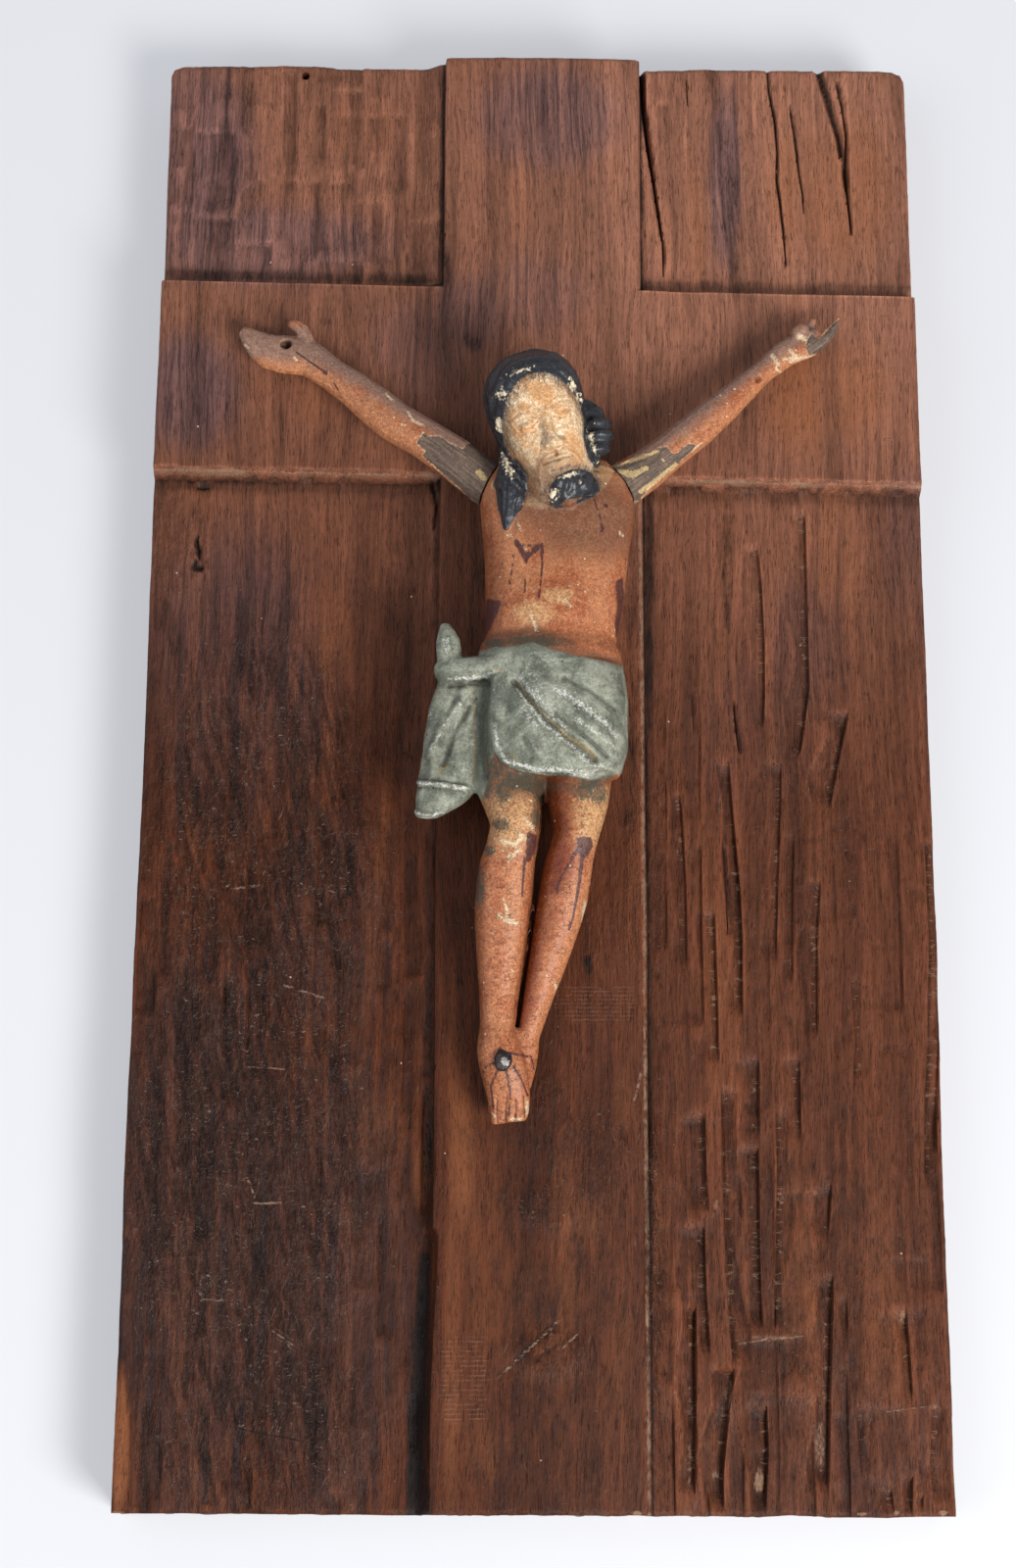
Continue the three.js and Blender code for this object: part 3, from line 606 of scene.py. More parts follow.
def started(name: str) -> tuple[bpy.types.Material, Board]:
    """A new material, and its board with the shader as the end node."""
    material = bpy.data.materials.new(name)
    material.use_nodes = True
    nodes = material.node_tree.nodes
    nodes.clear()
    board = Board(material.node_tree, nodes.new("ShaderNodeBsdfPrincipled"))
    out = nodes.new("ShaderNodeOutputMaterial")
    material.node_tree.links.new(board.ends.outputs[0], out.inputs["Surface"])
    return material, board


@dataclass(frozen=True)
class DarkHardwood:
    """Oiled, stained and scuffed dark hardwood with its grain along Y, and with painted shade, painted
    highlights and a painted bluish reflection in its colour.
    """

    low: Colour = (0.074, 0.0192, 0.0063)
    high: Colour = (0.282, 0.118, 0.071)
    ember: Colour = (0.26, 0.088, 0.032)
    dusk: Colour = (0.024, 0.015, 0.016)
    pore: Colour = (0.018, 0.009, 0.007)
    pale: Colour = (0.30, 0.18, 0.115)
    soot_and_shade: Colour = (0.0075, 0.0050, 0.0045)
    scratch: Colour = (0.26, 0.17, 0.13)
    thread: Colour = (0.36, 0.27, 0.215)
    nick: Colour = (0.36, 0.26, 0.21)
    scrape: Colour = (0.33, 0.21, 0.15)
    crumb: Colour = (0.60, 0.50, 0.42)
    scrape_height: float = 40.0
    pixel: float = 0.4585

    def made(self, groups: Groups) -> bpy.types.Material:
        """Builds the material."""
        material, board = started("dark_hardwood")
        where = board.object_mm()
        fibre, pore, band, streak = board.placed(groups.fibres, Where=where, Pores=1.0).values()
        colour = board.mix(board.held("tone"), self.low, self.high)
        bands = board.span(band, 0.32, 0.60, 0.70, 1.08)
        streaks = board.span(streak, 0.36, 0.66, 1.12, 0.78)
        tone = bands * streaks * board.span(fibre, 0.28, 0.72, 0.66, 1.33, smooth=False)
        colour = board.shaded(colour, tone)
        # Darker in hollows and lighter on crests: partly stain and wear, partly painted shade and painted
        # highlight.
        colour = board.shaded(colour, board.span(board.held("crest"), -0.8, 0.8, 0.62, 1.38, smooth=False))
        # Bluish tint where the cool mask is: purplish wood, and on the upper part a painted bluish
        # reflection; dark streaks in it.
        glare_and_dusk = board.shaded(colour, board.wire("CombineColor", {0: 0.72, 1: 0.95, 2: 1.62}))
        glare_and_dusk = board.mix(board.span(streak, 0.46, 0.66, 0.0, 0.62), glare_and_dusk, self.dusk)
        colour = board.mix(board.span(board.held("cool") + (streak - 0.5) * 0.9, 0.0, 0.85), colour, glare_and_dusk)
        warm = board.span(board.held("warm") + (band - 0.5) * 1.3, 0.05, 0.75)
        colour = board.mix(warm * 0.65, colour, self.ember)
        colour = board.mix(pore * 0.42, colour, self.pore)
        smudge = board.stretched(where, (0.20, 0.045, 0.2), 4.0, 0.65)
        speck = board.stretched(where, (0.8, 0.3, 0.8), 3.0, 0.7)
        cloudy = (smudge - 0.5) * 1.3 + (speck - 0.5) * 0.5
        # Dark stains and the painted shade at the cross's edges, held in one mask, darken towards near black.
        colour = board.mix(board.span(board.held("stain_and_shade") + cloudy, 0.05, 0.85) * 0.90, colour, self.soot_and_shade)
        rub = board.stretched(where, (1.1, 0.35, 1.1), 4.0, 0.72)
        # Pale wear, with the painted highlights on lit rims and cut ends in the same mask.
        worn = board.span(board.held("worn") + (rub - 0.5) * 1.5, 0.30, 0.85)
        colour = board.mix(worn * 0.72, colour, self.pale)
        scuff = board.held("scuff")
        lines = self.scratched(board, where, scuff)
        colour = board.mix(lines * 0.30, colour, self.scratch)
        turned = board.wire("Mapping", {"Vector": where, "Rotation": (0.0, 0.0, -0.24)})
        slant = board.stretched(turned, (0.30, 0.035, 0.3), 4.0, 0.68)
        hacked = board.span(scuff, 0.45, 0.85)
        leaning = board.shaded(colour, board.span(slant, 0.38, 0.62, 0.52, 1.30, smooth=False))
        colour = board.mix(hacked, colour, leaning)
        thread = board.line(board.noise(where, 0.17, 3.0, 0.62, 1.4), 0.011)
        thread = thread * board.span(board.noise(where, 0.12, 3.0, 0.65), 0.50, 0.60) * hacked
        colour = board.mix(thread * 0.62, colour, self.thread)
        nick = board.stretched(where, (0.42, 0.95, 0.6), 4.0, 0.75, 0.8, move=(5.0, 1.0, 7.0))
        nick = board.span(nick + scuff * 0.065, 0.645, 0.71)
        nick = nick * board.span(board.noise(where, 0.045, 3.0, 0.6), 0.47, 0.62)
        colour = board.mix(nick * 0.62, colour, self.nick)
        step = board.math("FRACT", board.stretched(where, (0.035, 0.15, 0.03), 3.0, 0.6) * 4.6)
        tick = board.span(abs(step - 0.5), 0.41, 0.48)
        tick = tick * board.span(board.held("lip") + (speck - 0.5) * 1.6, 0.35, 0.85)
        colour = board.mix(tick * 0.42, colour, self.pale)
        colour, scraped = self.scraped(board, groups, colour, where, (speck - 0.5) * 0.7)
        dust = board.placed(groups.specks, Where=where, Cells=0.10, Size=0.07, Share=0.26)
        colour = board.mix(dust["Mask"] * 0.8, colour, self.crumb)
        rough = board.span(fibre, 0.2, 0.8, 0.38, 0.60, smooth=False)
        board.give(Base_Color=colour, Roughness=board.math("ADD", rough, worn * 0.2, clamp=True),
                   Specular_IOR_Level=0.17)
        chips = board.stretched(where, (0.50, 0.15, 0.5), 3.0, 0.6, move=(3.0, 8.0, 1.0))
        high = fibre * 0.6 - pore * 0.9 - lines * 0.35 + nick * 0.8 + slant * hacked * 4.0 + thread
        high = high + scraped * 1.2 + tick * 0.35 + rub * (board.held("worn") * 1.8)
        high = high + speck * board.span(scuff, 0.0, 1.0, 0.5, 1.6)
        high = high + chips * board.span(scuff, 0.0, 1.0, 1.0, 4.0)
        board.raised(high, 0.85, 0.6)
        return material

    @staticmethod
    def scratched(board: Board, where: Wire, scuff: Wire) -> Wire:
        """Fine scratches in three directions, more of them on scuffed places."""
        lines = None
        kinds = ((0.42, 1.6, 0.09, 0.70), (-0.30, 1.9, 0.11, 0.71), (1.47, 2.2, 0.12, 0.70))
        for turn, across, length, low in kinds:
            turned = board.wire("Mapping", {"Vector": where, "Rotation": (0.0, 0.0, turn)})
            line = board.stretched(turned, (across, length, 0.8), 2.0, 0.5, move=(9.0 * turn, 4.0, 2.0))
            line = board.span(line + scuff * 0.035, low, low + 0.05)
            lines = board.math("MAXIMUM", lines, line) if lines else line
        return lines

    def scraped(self, board: Board, groups: Groups, colour: Wire, where: Wire,
                swing: Wire) -> tuple[Wire, Wire]:
        """Lays the scrapes on the colour, and also gives their mask."""
        most = None
        for start, end, half, many, strength in SCRAPES:
            ends = SIGHT.laid(np.array([start, end], float), self.scrape_height)
            middle, run = ends.mean(axis=0)[:2], (ends[1] - ends[0])[:2]
            length = float(np.hypot(*run))
            turn = np.array([-run[1], run[0]]) / length / (half * self.pixel)
            run = run / length ** 2
            mask = board.placed(groups.scrape, Where=where, Run=(*run, 0.0), Across=(*turn, 0.0), Swing=swing,
                                From=float(-middle @ run), Side=float(-middle @ turn), Lines=many)["Mask"]
            if strength < 0:
                colour = board.mix(mask * -strength, colour, self.soot_and_shade)
            else:
                most = board.math("MAXIMUM", most, mask * strength) if most else mask * strength
        breaks = board.stretched(where, (0.22, 0.8, 0.6), 3.0, 0.6, move=(7.0, 1.0, 2.0))
        most = most * board.span(breaks, 0.40, 0.58)
        return board.mix(most, colour, self.scrape), most


@dataclass(frozen=True)
class PaintedCarving:
    """Old paint over gesso on carved wood: skin, face, hair, cloth and bare wood on one surface, with painted
    shade and painted highlights in its colour.
    """

    skin: Colour = (0.30, 0.080, 0.026)
    rosy: Colour = (0.40, 0.146, 0.058)
    rosy_highlight: Colour = (0.66, 0.34, 0.18)
    grime: Colour = (0.095, 0.042, 0.024)
    shadow: Colour = (0.46, 0.26, 0.125)
    chip: Colour = (0.62, 0.46, 0.29)
    crack: Colour = (0.11, 0.048, 0.028)
    face: Colour = (0.66, 0.40, 0.20)
    flush: Colour = (0.60, 0.28, 0.095)
    face_grime: Colour = (0.22, 0.15, 0.105)
    hairline: Colour = (0.050, 0.047, 0.048)
    cream: Colour = (0.72, 0.60, 0.42)
    ochre: Colour = (0.50, 0.295, 0.135)
    smoke: Colour = (0.118, 0.053, 0.028)
    dust: Colour = (0.215, 0.145, 0.115)
    moss: Colour = (0.046, 0.050, 0.034)
    hair: Colour = (0.020, 0.022, 0.027)
    shine: Colour = (0.076, 0.080, 0.086)
    cloth: Colour = (0.338, 0.345, 0.266)
    cloth_dark: Colour = (0.128, 0.138, 0.104)
    cloth_green: Colour = (0.20, 0.30, 0.27)
    cloth_dirt: Colour = (0.105, 0.098, 0.066)
    cloth_shadow: Colour = (0.42, 0.41, 0.38)
    pit: Colour = (0.02, 0.02, 0.018)
    rub: Colour = (0.66, 0.66, 0.60)
    gold: Colour = (0.36, 0.22, 0.055)
    blood: Colour = (0.046, 0.013, 0.016)
    bare: Colour = (0.086, 0.058, 0.043)
    bare_pale: Colour = (0.176, 0.118, 0.084)
    bare_dark: Colour = (0.070, 0.053, 0.043)
    gesso: Colour = (0.50, 0.36, 0.17)
    rim: Colour = (0.52, 0.38, 0.22)
    hollow: Colour = (0.030, 0.020, 0.014)

    def made(self, groups: Groups) -> bpy.types.Material:
        """Builds the material."""
        material, board = started("painted_wood")
        where = board.object_mm()
        mix, span, held, noise = board.mix, board.span, board.held, board.noise

        def torn(name: str, cells: float, tear: float, soft: float) -> Wire:
            """The mask of a named edge value."""
            edge = {"Edge": held(name), "Cells": cells, "Tear": tear, "Soft": soft}
            return board.placed(groups.ragged, Where=where, **edge)["Mask"]

        cloud = noise(where, 0.09, 4.0, 0.6)
        mottle = noise(where, 0.5, 4.0, 0.65)
        grain = noise(where, 2.2, 3.0, 0.6)
        wisp = noise(where, 0.24, 5.0, 0.72, 0.6)
        strokes = board.stretched(where, (1.1, 0.3, 1.1), 4.0, 0.7, 1.5)
        grime = span(wisp, 0.52, 0.70)
        soiled = (mottle - 0.5) * 0.9 + (cloud - 0.5) * 1.2
        # Soot, and painted shade under the chin and the hem.
        smoke = span(held("smoke") + soiled, 0.05, 0.95)
        net = board.placed(groups.crackle, Where=where, Cells=0.27, Width=0.042)
        crack = net["Crack"] * span(held("crackle"), 0.0, 1.0)
        crack = crack * span(noise(where, 0.22, 4.0, 0.7), 0.45, 0.60)
        flake = torn("flake", 1.8, 3.0, 0.10)

        rosy = held("rosy") + (mottle - 0.5) * 1.1
        threads = board.line(board.math("FRACT", wisp * 7.0), 0.09)
        brink = span(held("hair"), -1.7, -0.05) + (strokes - 0.5) * 2.6
        face = board.coated(
            self.face, (span(mottle, 0.40, 0.68), self.cream), (span(cloud, 0.44, 0.60) * 0.70, self.flush),
            (grime * 0.45, self.face_grime), (span(brink, 0.55, 1.25, 0.0, 0.9), self.hairline),
        )
        skin = board.coated(
            self.skin,
            (span(cloud + mottle * 0.35, 0.52, 0.86), self.rosy), (span(rosy, 0.0, 1.0), self.rosy),
            # Palest rosy paint on the limbs' lit edges: a painted highlight.
            (span(rosy, 0.9, 1.7, 0.0, 0.6), self.rosy_highlight),
            (threads * span(grain, 0.40, 0.60, 0.0, 0.45), self.cream), (grime * 0.40, self.grime),
            (span(strokes, 0.60, 0.75) * 0.35, self.cream),
            (torn("ochre", 0.35, 1.6, 0.5) * span(mottle, 0.36, 0.60, 0.35, 0.85), self.ochre),
            (span(held("face"), -0.2, 0.6), face),
        )
        tiny = board.placed(groups.specks, Where=where, Cells=0.30, Size=0.27, Share=0.24)["Mask"]
        skin = board.coated(
            skin, (held("shade"), board.shaded(skin, self.shadow)),
            (smoke * 0.72, mix(held("dust"), self.smoke, self.dust)),
            (torn("moss", 0.8, 2.8, 0.35) * span(mottle, 0.38, 0.58, 0.45, 0.95), self.moss),
            (flake * 0.85, self.chip), (tiny * 0.7, self.cream), (crack * 0.80, self.crack),
            (torn("blood", 1.3, 1.3, 0.22) * 0.88, self.blood),
        )

        worn = noise(where, 0.95, 4.0, 0.78)
        rubs = held("rub") * 0.90 + (worn - 0.5) * 3.6 + (mottle - 0.5) * 1.2
        thin = held("gold") - 0.35 + (worn - 0.5) * 3.0
        pits = board.placed(groups.specks, Where=where, Cells=0.32, Size=0.20, Share=0.20)["Mask"]
        cloth = board.coated(
            self.cloth_dark, (span(cloud, 0.35, 0.68), self.cloth),
            (span(mottle, 0.5, 0.75) * 0.35, self.cloth_green),
            # The cloth's fold grooves darker: painted shade in the creases.
            (span(held("fold") * -1.0, 0.1, 0.8), self.cloth_dark), (span(rubs, 0.58, 1.02) * 0.85, self.rub),
            (span(thin, 0.0, 0.6, 0.0, 0.7), self.gold), (span(wisp, 0.50, 0.66) * 0.55, self.cloth_dirt),
            (pits, self.pit), (smoke * 0.55, self.moss),
        )
        cloth = mix(held("shade"), cloth, board.shaded(cloth, self.cloth_shadow))

        bald = torn("bald", 0.55, 1.5, 0.10)
        hair = board.coated(self.hair, (span(noise(where, 0.7, 3.0, 0.6), 0.55, 0.8), self.shine),
                            (bald, self.cream))

        x, y, z = board.wires("SeparateXYZ", {0: where}).values()
        lying = board.wire("CombineXYZ", {0: abs(x), 1: y - abs(x) * 0.78, 2: z})
        fibres = board.stretched(lying, (0.10, 0.95, 0.6), 4.0, 0.68)
        bare = board.coated(
            self.bare, (span(fibres, 0.36, 0.64), self.bare_pale),
            (span(wisp, 0.46, 0.66, 0.0, 0.5), self.bare_dark),
            (torn("gesso", 1.3, 1.9, 0.16) * 0.85, self.gesso),
        )

        is_cloth, is_hair = torn("cloth", 0.5, 0.22, 0.08), torn("hair", 0.6, 0.5, 0.10)
        is_bare = torn("bare", 0.45, 0.6, 0.05)
        rim = 1.0 - span(abs(held("bare")), 0.0, 0.16)
        colour = board.coated(
            skin, (is_cloth, cloth), (is_hair, hair), (rim * span(mottle, 0.42, 0.60, 0.15, 0.85), self.rim),
            # Darker in the hollows: dirt and painted shade.
            (is_bare, bare), (span(held("crest"), -0.9, -0.05, 0.55, 0.0), self.hollow),
        )
        fine = span(grain, 0.25, 0.75, 0.72, 1.28, smooth=False)
        fine = fine * span(mottle, 0.30, 0.70, 0.82, 1.16, smooth=False)
        fine = fine * span(noise(where, 1.0, 4.0, 0.72), 0.34, 0.66, 0.76, 1.22, smooth=False)
        rough = span(mottle, 0.3, 0.7, 0.36, 0.56, smooth=False) + is_bare * 0.3 + is_cloth * 0.06
        rough = board.math("SUBTRACT", rough, is_hair * (1.0 - bald) * 0.14, clamp=True)
        board.give(Base_Color=board.shaded(colour, fine), Roughness=rough, Specular_IOR_Level=0.36)
        crack = crack * (1.0 - is_cloth)
        high = crack * -1.0 + net["Plate"] * (0.35 * crack) + mottle * 0.9 + grain * 0.22 - flake * 0.5
        board.raised(high - pits * is_cloth, 0.75, 0.35)
        return material


@dataclass(frozen=True)
class ForgedIron:
    """Dark, waxed forged iron with bright rubs."""

    dark: Colour = (0.030, 0.031, 0.035)
    rust: Colour = (0.075, 0.040, 0.026)
    bright: Colour = (0.42, 0.39, 0.36)

    def made(self, groups: Groups) -> bpy.types.Material:
        """Builds the material."""
        material, board = started("forged_iron")
        where = board.object_mm()
        cloud = board.noise(where, 0.7, 4.0, 0.6)
        colour = board.mix(board.span(cloud, 0.45, 0.65), self.dark, self.rust)
        rub = board.placed(groups.ragged, Where=where, Edge=board.held("rub"), Cells=0.9, Tear=0.8, Soft=0.15)
        board.give(Base_Color=board.mix(rub["Mask"], colour, self.bright),
                   Metallic=board.span(cloud, 0.3, 0.7, 0.9, 0.55),
                   Roughness=board.span(cloud, 0.3, 0.7, 0.34, 0.6))
        board.raised(cloud, 0.5, 0.3)
        return material


@dataclass(frozen=True)
class Backdrop:
    """Plain pale studio floor with a faint glow."""

    tone: Colour = (0.38, 0.383, 0.392)
    dim: float = 0.97
    glow: Colour = (0.88, 0.90, 0.96)

    def made(self) -> bpy.types.Material:
        """Builds the material."""
        material, board = started("studio_floor")
        faint = board.span(board.noise(board.object_mm(), 0.004, 2.0), 0.3, 0.7, 0.0, 0.25)
        board.give(Base_Color=board.mix(faint, self.tone, tuple(self.dim * part for part in self.tone)),
                   Roughness=0.7, Emission_Color=self.glow, Emission_Strength=0.41)
        return material


# Gouge cuts: the steep wall's points from top to bottom in pixels of the photograph, the floor's width
# and depth in millimetres, and the side of the floor on which the wall stands.
GOUGES: list[tuple[Path, float, float, int]] = [
    ([(773.8, 1080), (774, 1164)], 14, 1.8, 1), ([(773, 1172), (774.8, 1276), (777.8, 1358)], 17, 2.2, 1),
    ([(737.4, 1113), (739.5, 1218), (742.6, 1294), (746.6, 1356), (748.7, 1392)], 9, 2.6, -1),
    ([(749, 1398), (743, 1441), (737, 1508), (738, 1545)], 12, 3.6, 1),
    ([(793, 1133), (794.6, 1208), (793, 1294), (791.6, 1357)], 8, 1.8, -1),
    ([(719, 1138), (720.2, 1211), (722.6, 1239)], 16, 2.2, 1),
    ([(718.4, 1254), (720.2, 1319), (724, 1386)], 14, 2.4, 1),
    ([(710.4, 1334), (709, 1386), (709.8, 1462), (708.9, 1527)], 9, 3.4, 1),
    ([(782.4, 1438), (784, 1478), (781, 1545)], 11, 3.0, 1), ([(848, 1211), (844.5, 1264)], 9, 1.8, 1),
    ([(849.7, 1306), (848, 1355), (846.7, 1417), (845, 1524)], 10, 2.8, 1),
    ([(863.5, 1325), (865, 1371)], 6, 1.4, 1), ([(926, 1338), (929.3, 1386), (932.4, 1435)], 7, 2.0, 1),
    ([(876, 1435), (880, 1509)], 7, 1.3, -1), ([(955, 1438), (954, 1493), (957, 1539)], 10, 2.0, -1),
    ([(909.5, 1518), (912.5, 1548)], 6, 2.4, 1), ([(932.4, 1508), (931, 1548)], 7, 2.4, 1),
    ([(943, 1527), (943, 1548)], 5, 1.6, 1), ([(816, 1080), (817, 1163)], 12, 1.8, 1),
    ([(772.6, 560), (776.7, 600), (779.3, 654), (779.9, 708), (778, 748)], 10, 1.7, 1),
    ([(821, 525), (822.7, 587), (823.8, 641), (825.4, 702), (817, 764), (811.5, 775)], 11, 2.0, 1),
    ([(865, 729), (854.4, 783), (846.3, 826)], 20, 2.4, 1),
    ([(743, 780), (747, 828), (754, 900), (757, 960), (757, 1040)], 8, 2.2, 1),
    ([(693.6, 812), (696.3, 855), (699, 900), (701, 990)], 8, 1.4, 1),
    ([(797, 780), (795.4, 855), (793.3, 900), (792, 985)], 9, 1.5, 1),
    ([(810, 852), (809, 900), (808, 1010)], 7, 1.2, 1), ([(837, 900), (834, 960), (834, 1060)], 10, 1.6, 1),
    ([(728, 930), (731, 1010), (733, 1090)], 9, 1.8, 1),
    ([(870, 1000), (874, 1060), (872, 1110)], 8, 1.3, -1),
    ([(946, 860), (950, 960), (949, 1080), (948, 1212)], 6, 1.6, -1),
    ([(957, 930), (960, 1050), (958, 1180)], 4, 1.3, 1), ([(300.4, 72), (300.6, 176)], 14, 0.9, 1),
    ([(330.4, 106), (331, 170)], 9, 0.9, 1), ([(213, 184), (214.5, 262)], 16, 0.8, -1),
    ([(359, 172), (360, 205)], 8, 0.8, 1), ([(388, 206), (389, 258)], 8, 0.7, 1),
    ([(672.5, 104), (673.5, 148)], 7, 0.8, -1),
]

# Chisel stops, short ledges across the grain: X from and to, Y at each end, and the drop in millimetres.
LEDGES: Ovals = [
    (759, 822, 1369, 1362, 1.4), (765, 838, 1425, 1427, 1.0), (246, 301, 192, 168, 0.7),
    (325, 358, 182, 184, 0.7), (358, 390, 206, 206, 0.6), (337, 392, 117, 116, 0.6),
    (672, 700, 1250, 1252, 0.5), (900, 950, 1285, 1282, 0.7), (896, 945, 1344, 1338, 0.8),
    (850, 920, 1445, 1434, 0.9), (880, 905, 1505, 1506, 0.7), (695, 760, 1140, 1140, 0.5),
    (790, 838, 1218, 1214, 0.7), (700, 735, 1253, 1233, 0.8), (838, 866, 856, 858, 0.4),
]

# Splits and tears: x, y and half width in pixels, and the depth in millimetres.
SPLITS: Strokes = [
    ([(653.5, 60, 3.4), (656, 106, 3.6), (660.8, 147, 2.8), (667.1, 185, 2.0), (672.2, 218, 1.5),
      (676, 244, 1.0), (677.3, 285, 0.6)], 7.0),
    ([(783.2, 68, 2.4), (784.5, 91, 2.2), (790.9, 124, 2.0), (793.4, 155, 2.2), (792.7, 183, 2.2),
      (796, 206, 2.0), (799.8, 239, 1.8), (802.3, 270, 0.8)], 1.9),
    ([(806.2, 111, 1.2), (811.3, 142, 2.0), (815.1, 173, 1.8), (819, 198, 1.4), (820.2, 216, 0.8)], 1.5),
    ([(834, 68, 5.0), (846, 104, 6.0), (856, 140, 5.0), (862, 175, 3.6), (865, 198, 2.4),
      (869, 240, 1.0)], 3.2),
    ([(853.4, 83, 1.4), (859.7, 110, 1.6), (863.6, 137, 1.6), (863.6, 193, 1.2)], 3.4),
    ([(700.3, 80, 1.4), (701.6, 104, 1.0)], 1.6),
    ([(748.5, 716, 0.8), (751.2, 742, 1.3), (753.9, 767, 0.8)], 2.4),
    ([(705.6, 708, 0.7), (708.3, 748, 0.8)], 1.2),
    ([(738, 863, 0.8), (740.5, 900, 1.1), (743, 950, 0.8)], 1.8),
    ([(200, 548, 1.6), (203, 566, 2.4), (198, 575, 1.6)], 2.4),
    ([(196, 577, 2.4), (204, 580, 3.2), (210, 575, 2.4)], 2.6),
    ([(440, 492, 2.4), (446, 515, 2.2), (444, 540, 1.6)], 2.2),
    ([(192, 490, 2.4), (206, 498, 4.0), (218, 494, 2.4)], 2.2),
]

# Dark stains, and painted shade along the cross's edges and beside the figure: path and half width in pixels,
# and strength.
STAINS_AND_SHADE: Strokes = [
    ([(727, 75, 8), (738, 140, 9), (748, 220, 8), (750, 300, 7)], 0.36),
    ([(742, 488, 6), (744, 560, 7), (741, 640, 5)], 0.42),
    ([(443, 490, 6), (446, 600, 5), (444, 760, 5), (440, 900, 5)], 0.22),
    ([(436, 900, 5), (438, 1100, 5), (437, 1250, 6)], 0.42),
    ([(434, 1285, 6), (430, 1360, 9), (427, 1450, 12), (426, 1545, 13)], 0.85),
    ([(664, 495, 5), (662, 620, 5), (663, 740, 4)], 0.62),
    ([(250, 75, 22), (232, 180, 24), (226, 262, 20)], 0.26),
    ([(170, 280, 7), (300, 282, 5), (455, 286, 5)], 0.50), ([(449, 190, 6), (454, 284, 7)], 0.42),
    ([(660, 290, 4), (800, 293, 3), (930, 295, 3)], 0.40), ([(225, 330, 30), (215, 440, 26)], 0.20),
    ([(180, 900, 16), (205, 1100, 22), (215, 1300, 24)], 0.28),
    ([(300, 820, 26), (290, 1000, 30), (270, 1200, 34), (300, 1450, 44)], 0.26),
    ([(395, 1020, 24), (380, 1250, 24)], 0.22), ([(165, 620, 10), (200, 720, 14), (190, 860, 12)], 0.30),
    ([(820, 620, 26), (870, 670, 24)], 0.16), ([(600, 980, 4), (602, 990, 3)], 0.85),
    ([(474, 345, 9), (486, 352, 8)], 0.42), ([(560, 1370, 18), (545, 1395, 14)], 0.16),
    ([(480, 1150, 14), (520, 1180, 22), (560, 1230, 26)], 0.24), ([(900, 1270, 36), (950, 1500, 20)], 0.18),
    ([(640, 560, 10), (648, 700, 8), (640, 860, 12)], 0.30), ([(470, 930, 10), (468, 1000, 8)], 0.32),
    ([(505, 540, 10), (488, 600, 8), (480, 660, 8)], 0.34), ([(330, 250, 50), (420, 262, 30)], 0.20),
    ([(200, 350, 30), (190, 420, 26)], 0.24), ([(350, 330, 40), (350, 345, 40)], 0.16),
    ([(560, 1180, 90), (560, 1500, 90)], 0.31), ([(820, 1250, 150), (820, 1500, 150)], 0.25),
    ([(500, 1160, 8), (512, 1180, 8)], 0.30), ([(250, 560, 30), (260, 640, 26)], 0.16),
]

# Places where the wood is purplish brown, with a painted bluish reflection on the upper part: x, y and radii
# in pixels, and strength.
COOL_AND_GLARE: Ovals = [
    (200, 160, 90, 150, 0.5), (260, 250, 200, 60, 0.5), (190, 400, 80, 90, 0.6), (420, 360, 70, 80, 0.35),
    (240, 700, 150, 230, 0.55), (200, 1250, 140, 420, 0.85), (340, 1300, 110, 340, 0.85),
    (330, 950, 110, 180, 0.5), (480, 320, 60, 60, 0.4), (740, 180, 24, 140, 0.5),
    (560, 1100, 90, 130, 0.15), (900, 1480, 110, 80, 0.25), (930, 560, 40, 140, 0.3),
    (820, 660, 60, 120, 0.3), (540, 300, 90, 60, 0.3), (520, 1500, 60, 70, 0.12), (760, 760, 90, 130, 0.25),
    (560, 120, 110, 80, 0.45),
]

# Warmer, more orange patches.
WARM: Ovals = [
    (860, 200, 110, 120, 0.42), (830, 400, 120, 90, 0.46), (560, 180, 90, 120, 0.26),
    (330, 400, 110, 60, 0.20), (360, 130, 90, 60, 0.26), (700, 220, 50, 120, 0.26),
    (850, 560, 100, 110, 0.26), (760, 1000, 70, 220, 0.18), (500, 1300, 30, 200, 0.16),
    (610, 1400, 40, 140, 0.20), (121, 1475, 15, 100, 1.0), (400, 1150, 40, 60, 0.2),
    (920, 620, 40, 90, 0.3), (330, 640, 40, 70, 0.24), (600, 1250, 40, 60, 0.4), (460, 1400, 14, 260, 0.25),
    (470, 1180, 26, 110, 0.28), (560, 1230, 50, 110, 0.20), (640, 1400, 24, 140, 0.3),
    (520, 1480, 60, 60, 0.25), (430, 1200, 14, 60, 0.4), (640, 1120, 20, 60, 0.35),
    (560, 1350, 90, 200, 0.25), (850, 1350, 130, 200, 0.2),
]

# Scuffed places.
SCUFFS: Ovals = [
    (270, 860, 180, 340, 0.95), (250, 1180, 190, 360, 1.0), (260, 1450, 180, 160, 0.85),
    (600, 1180, 70, 90, 0.5), (430, 420, 90, 50, 0.5), (180, 560, 60, 90, 0.6), (560, 1380, 60, 40, 0.7),
    (660, 900, 40, 180, 0.5), (300, 200, 120, 60, 0.3), (620, 950, 40, 60, 0.5), (668, 1300, 16, 260, 0.9),
    (560, 1230, 50, 40, 0.6), (540, 1110, 60, 40, 0.5), (820, 850, 120, 140, 0.3),
    (860, 1380, 110, 160, 0.35),
]

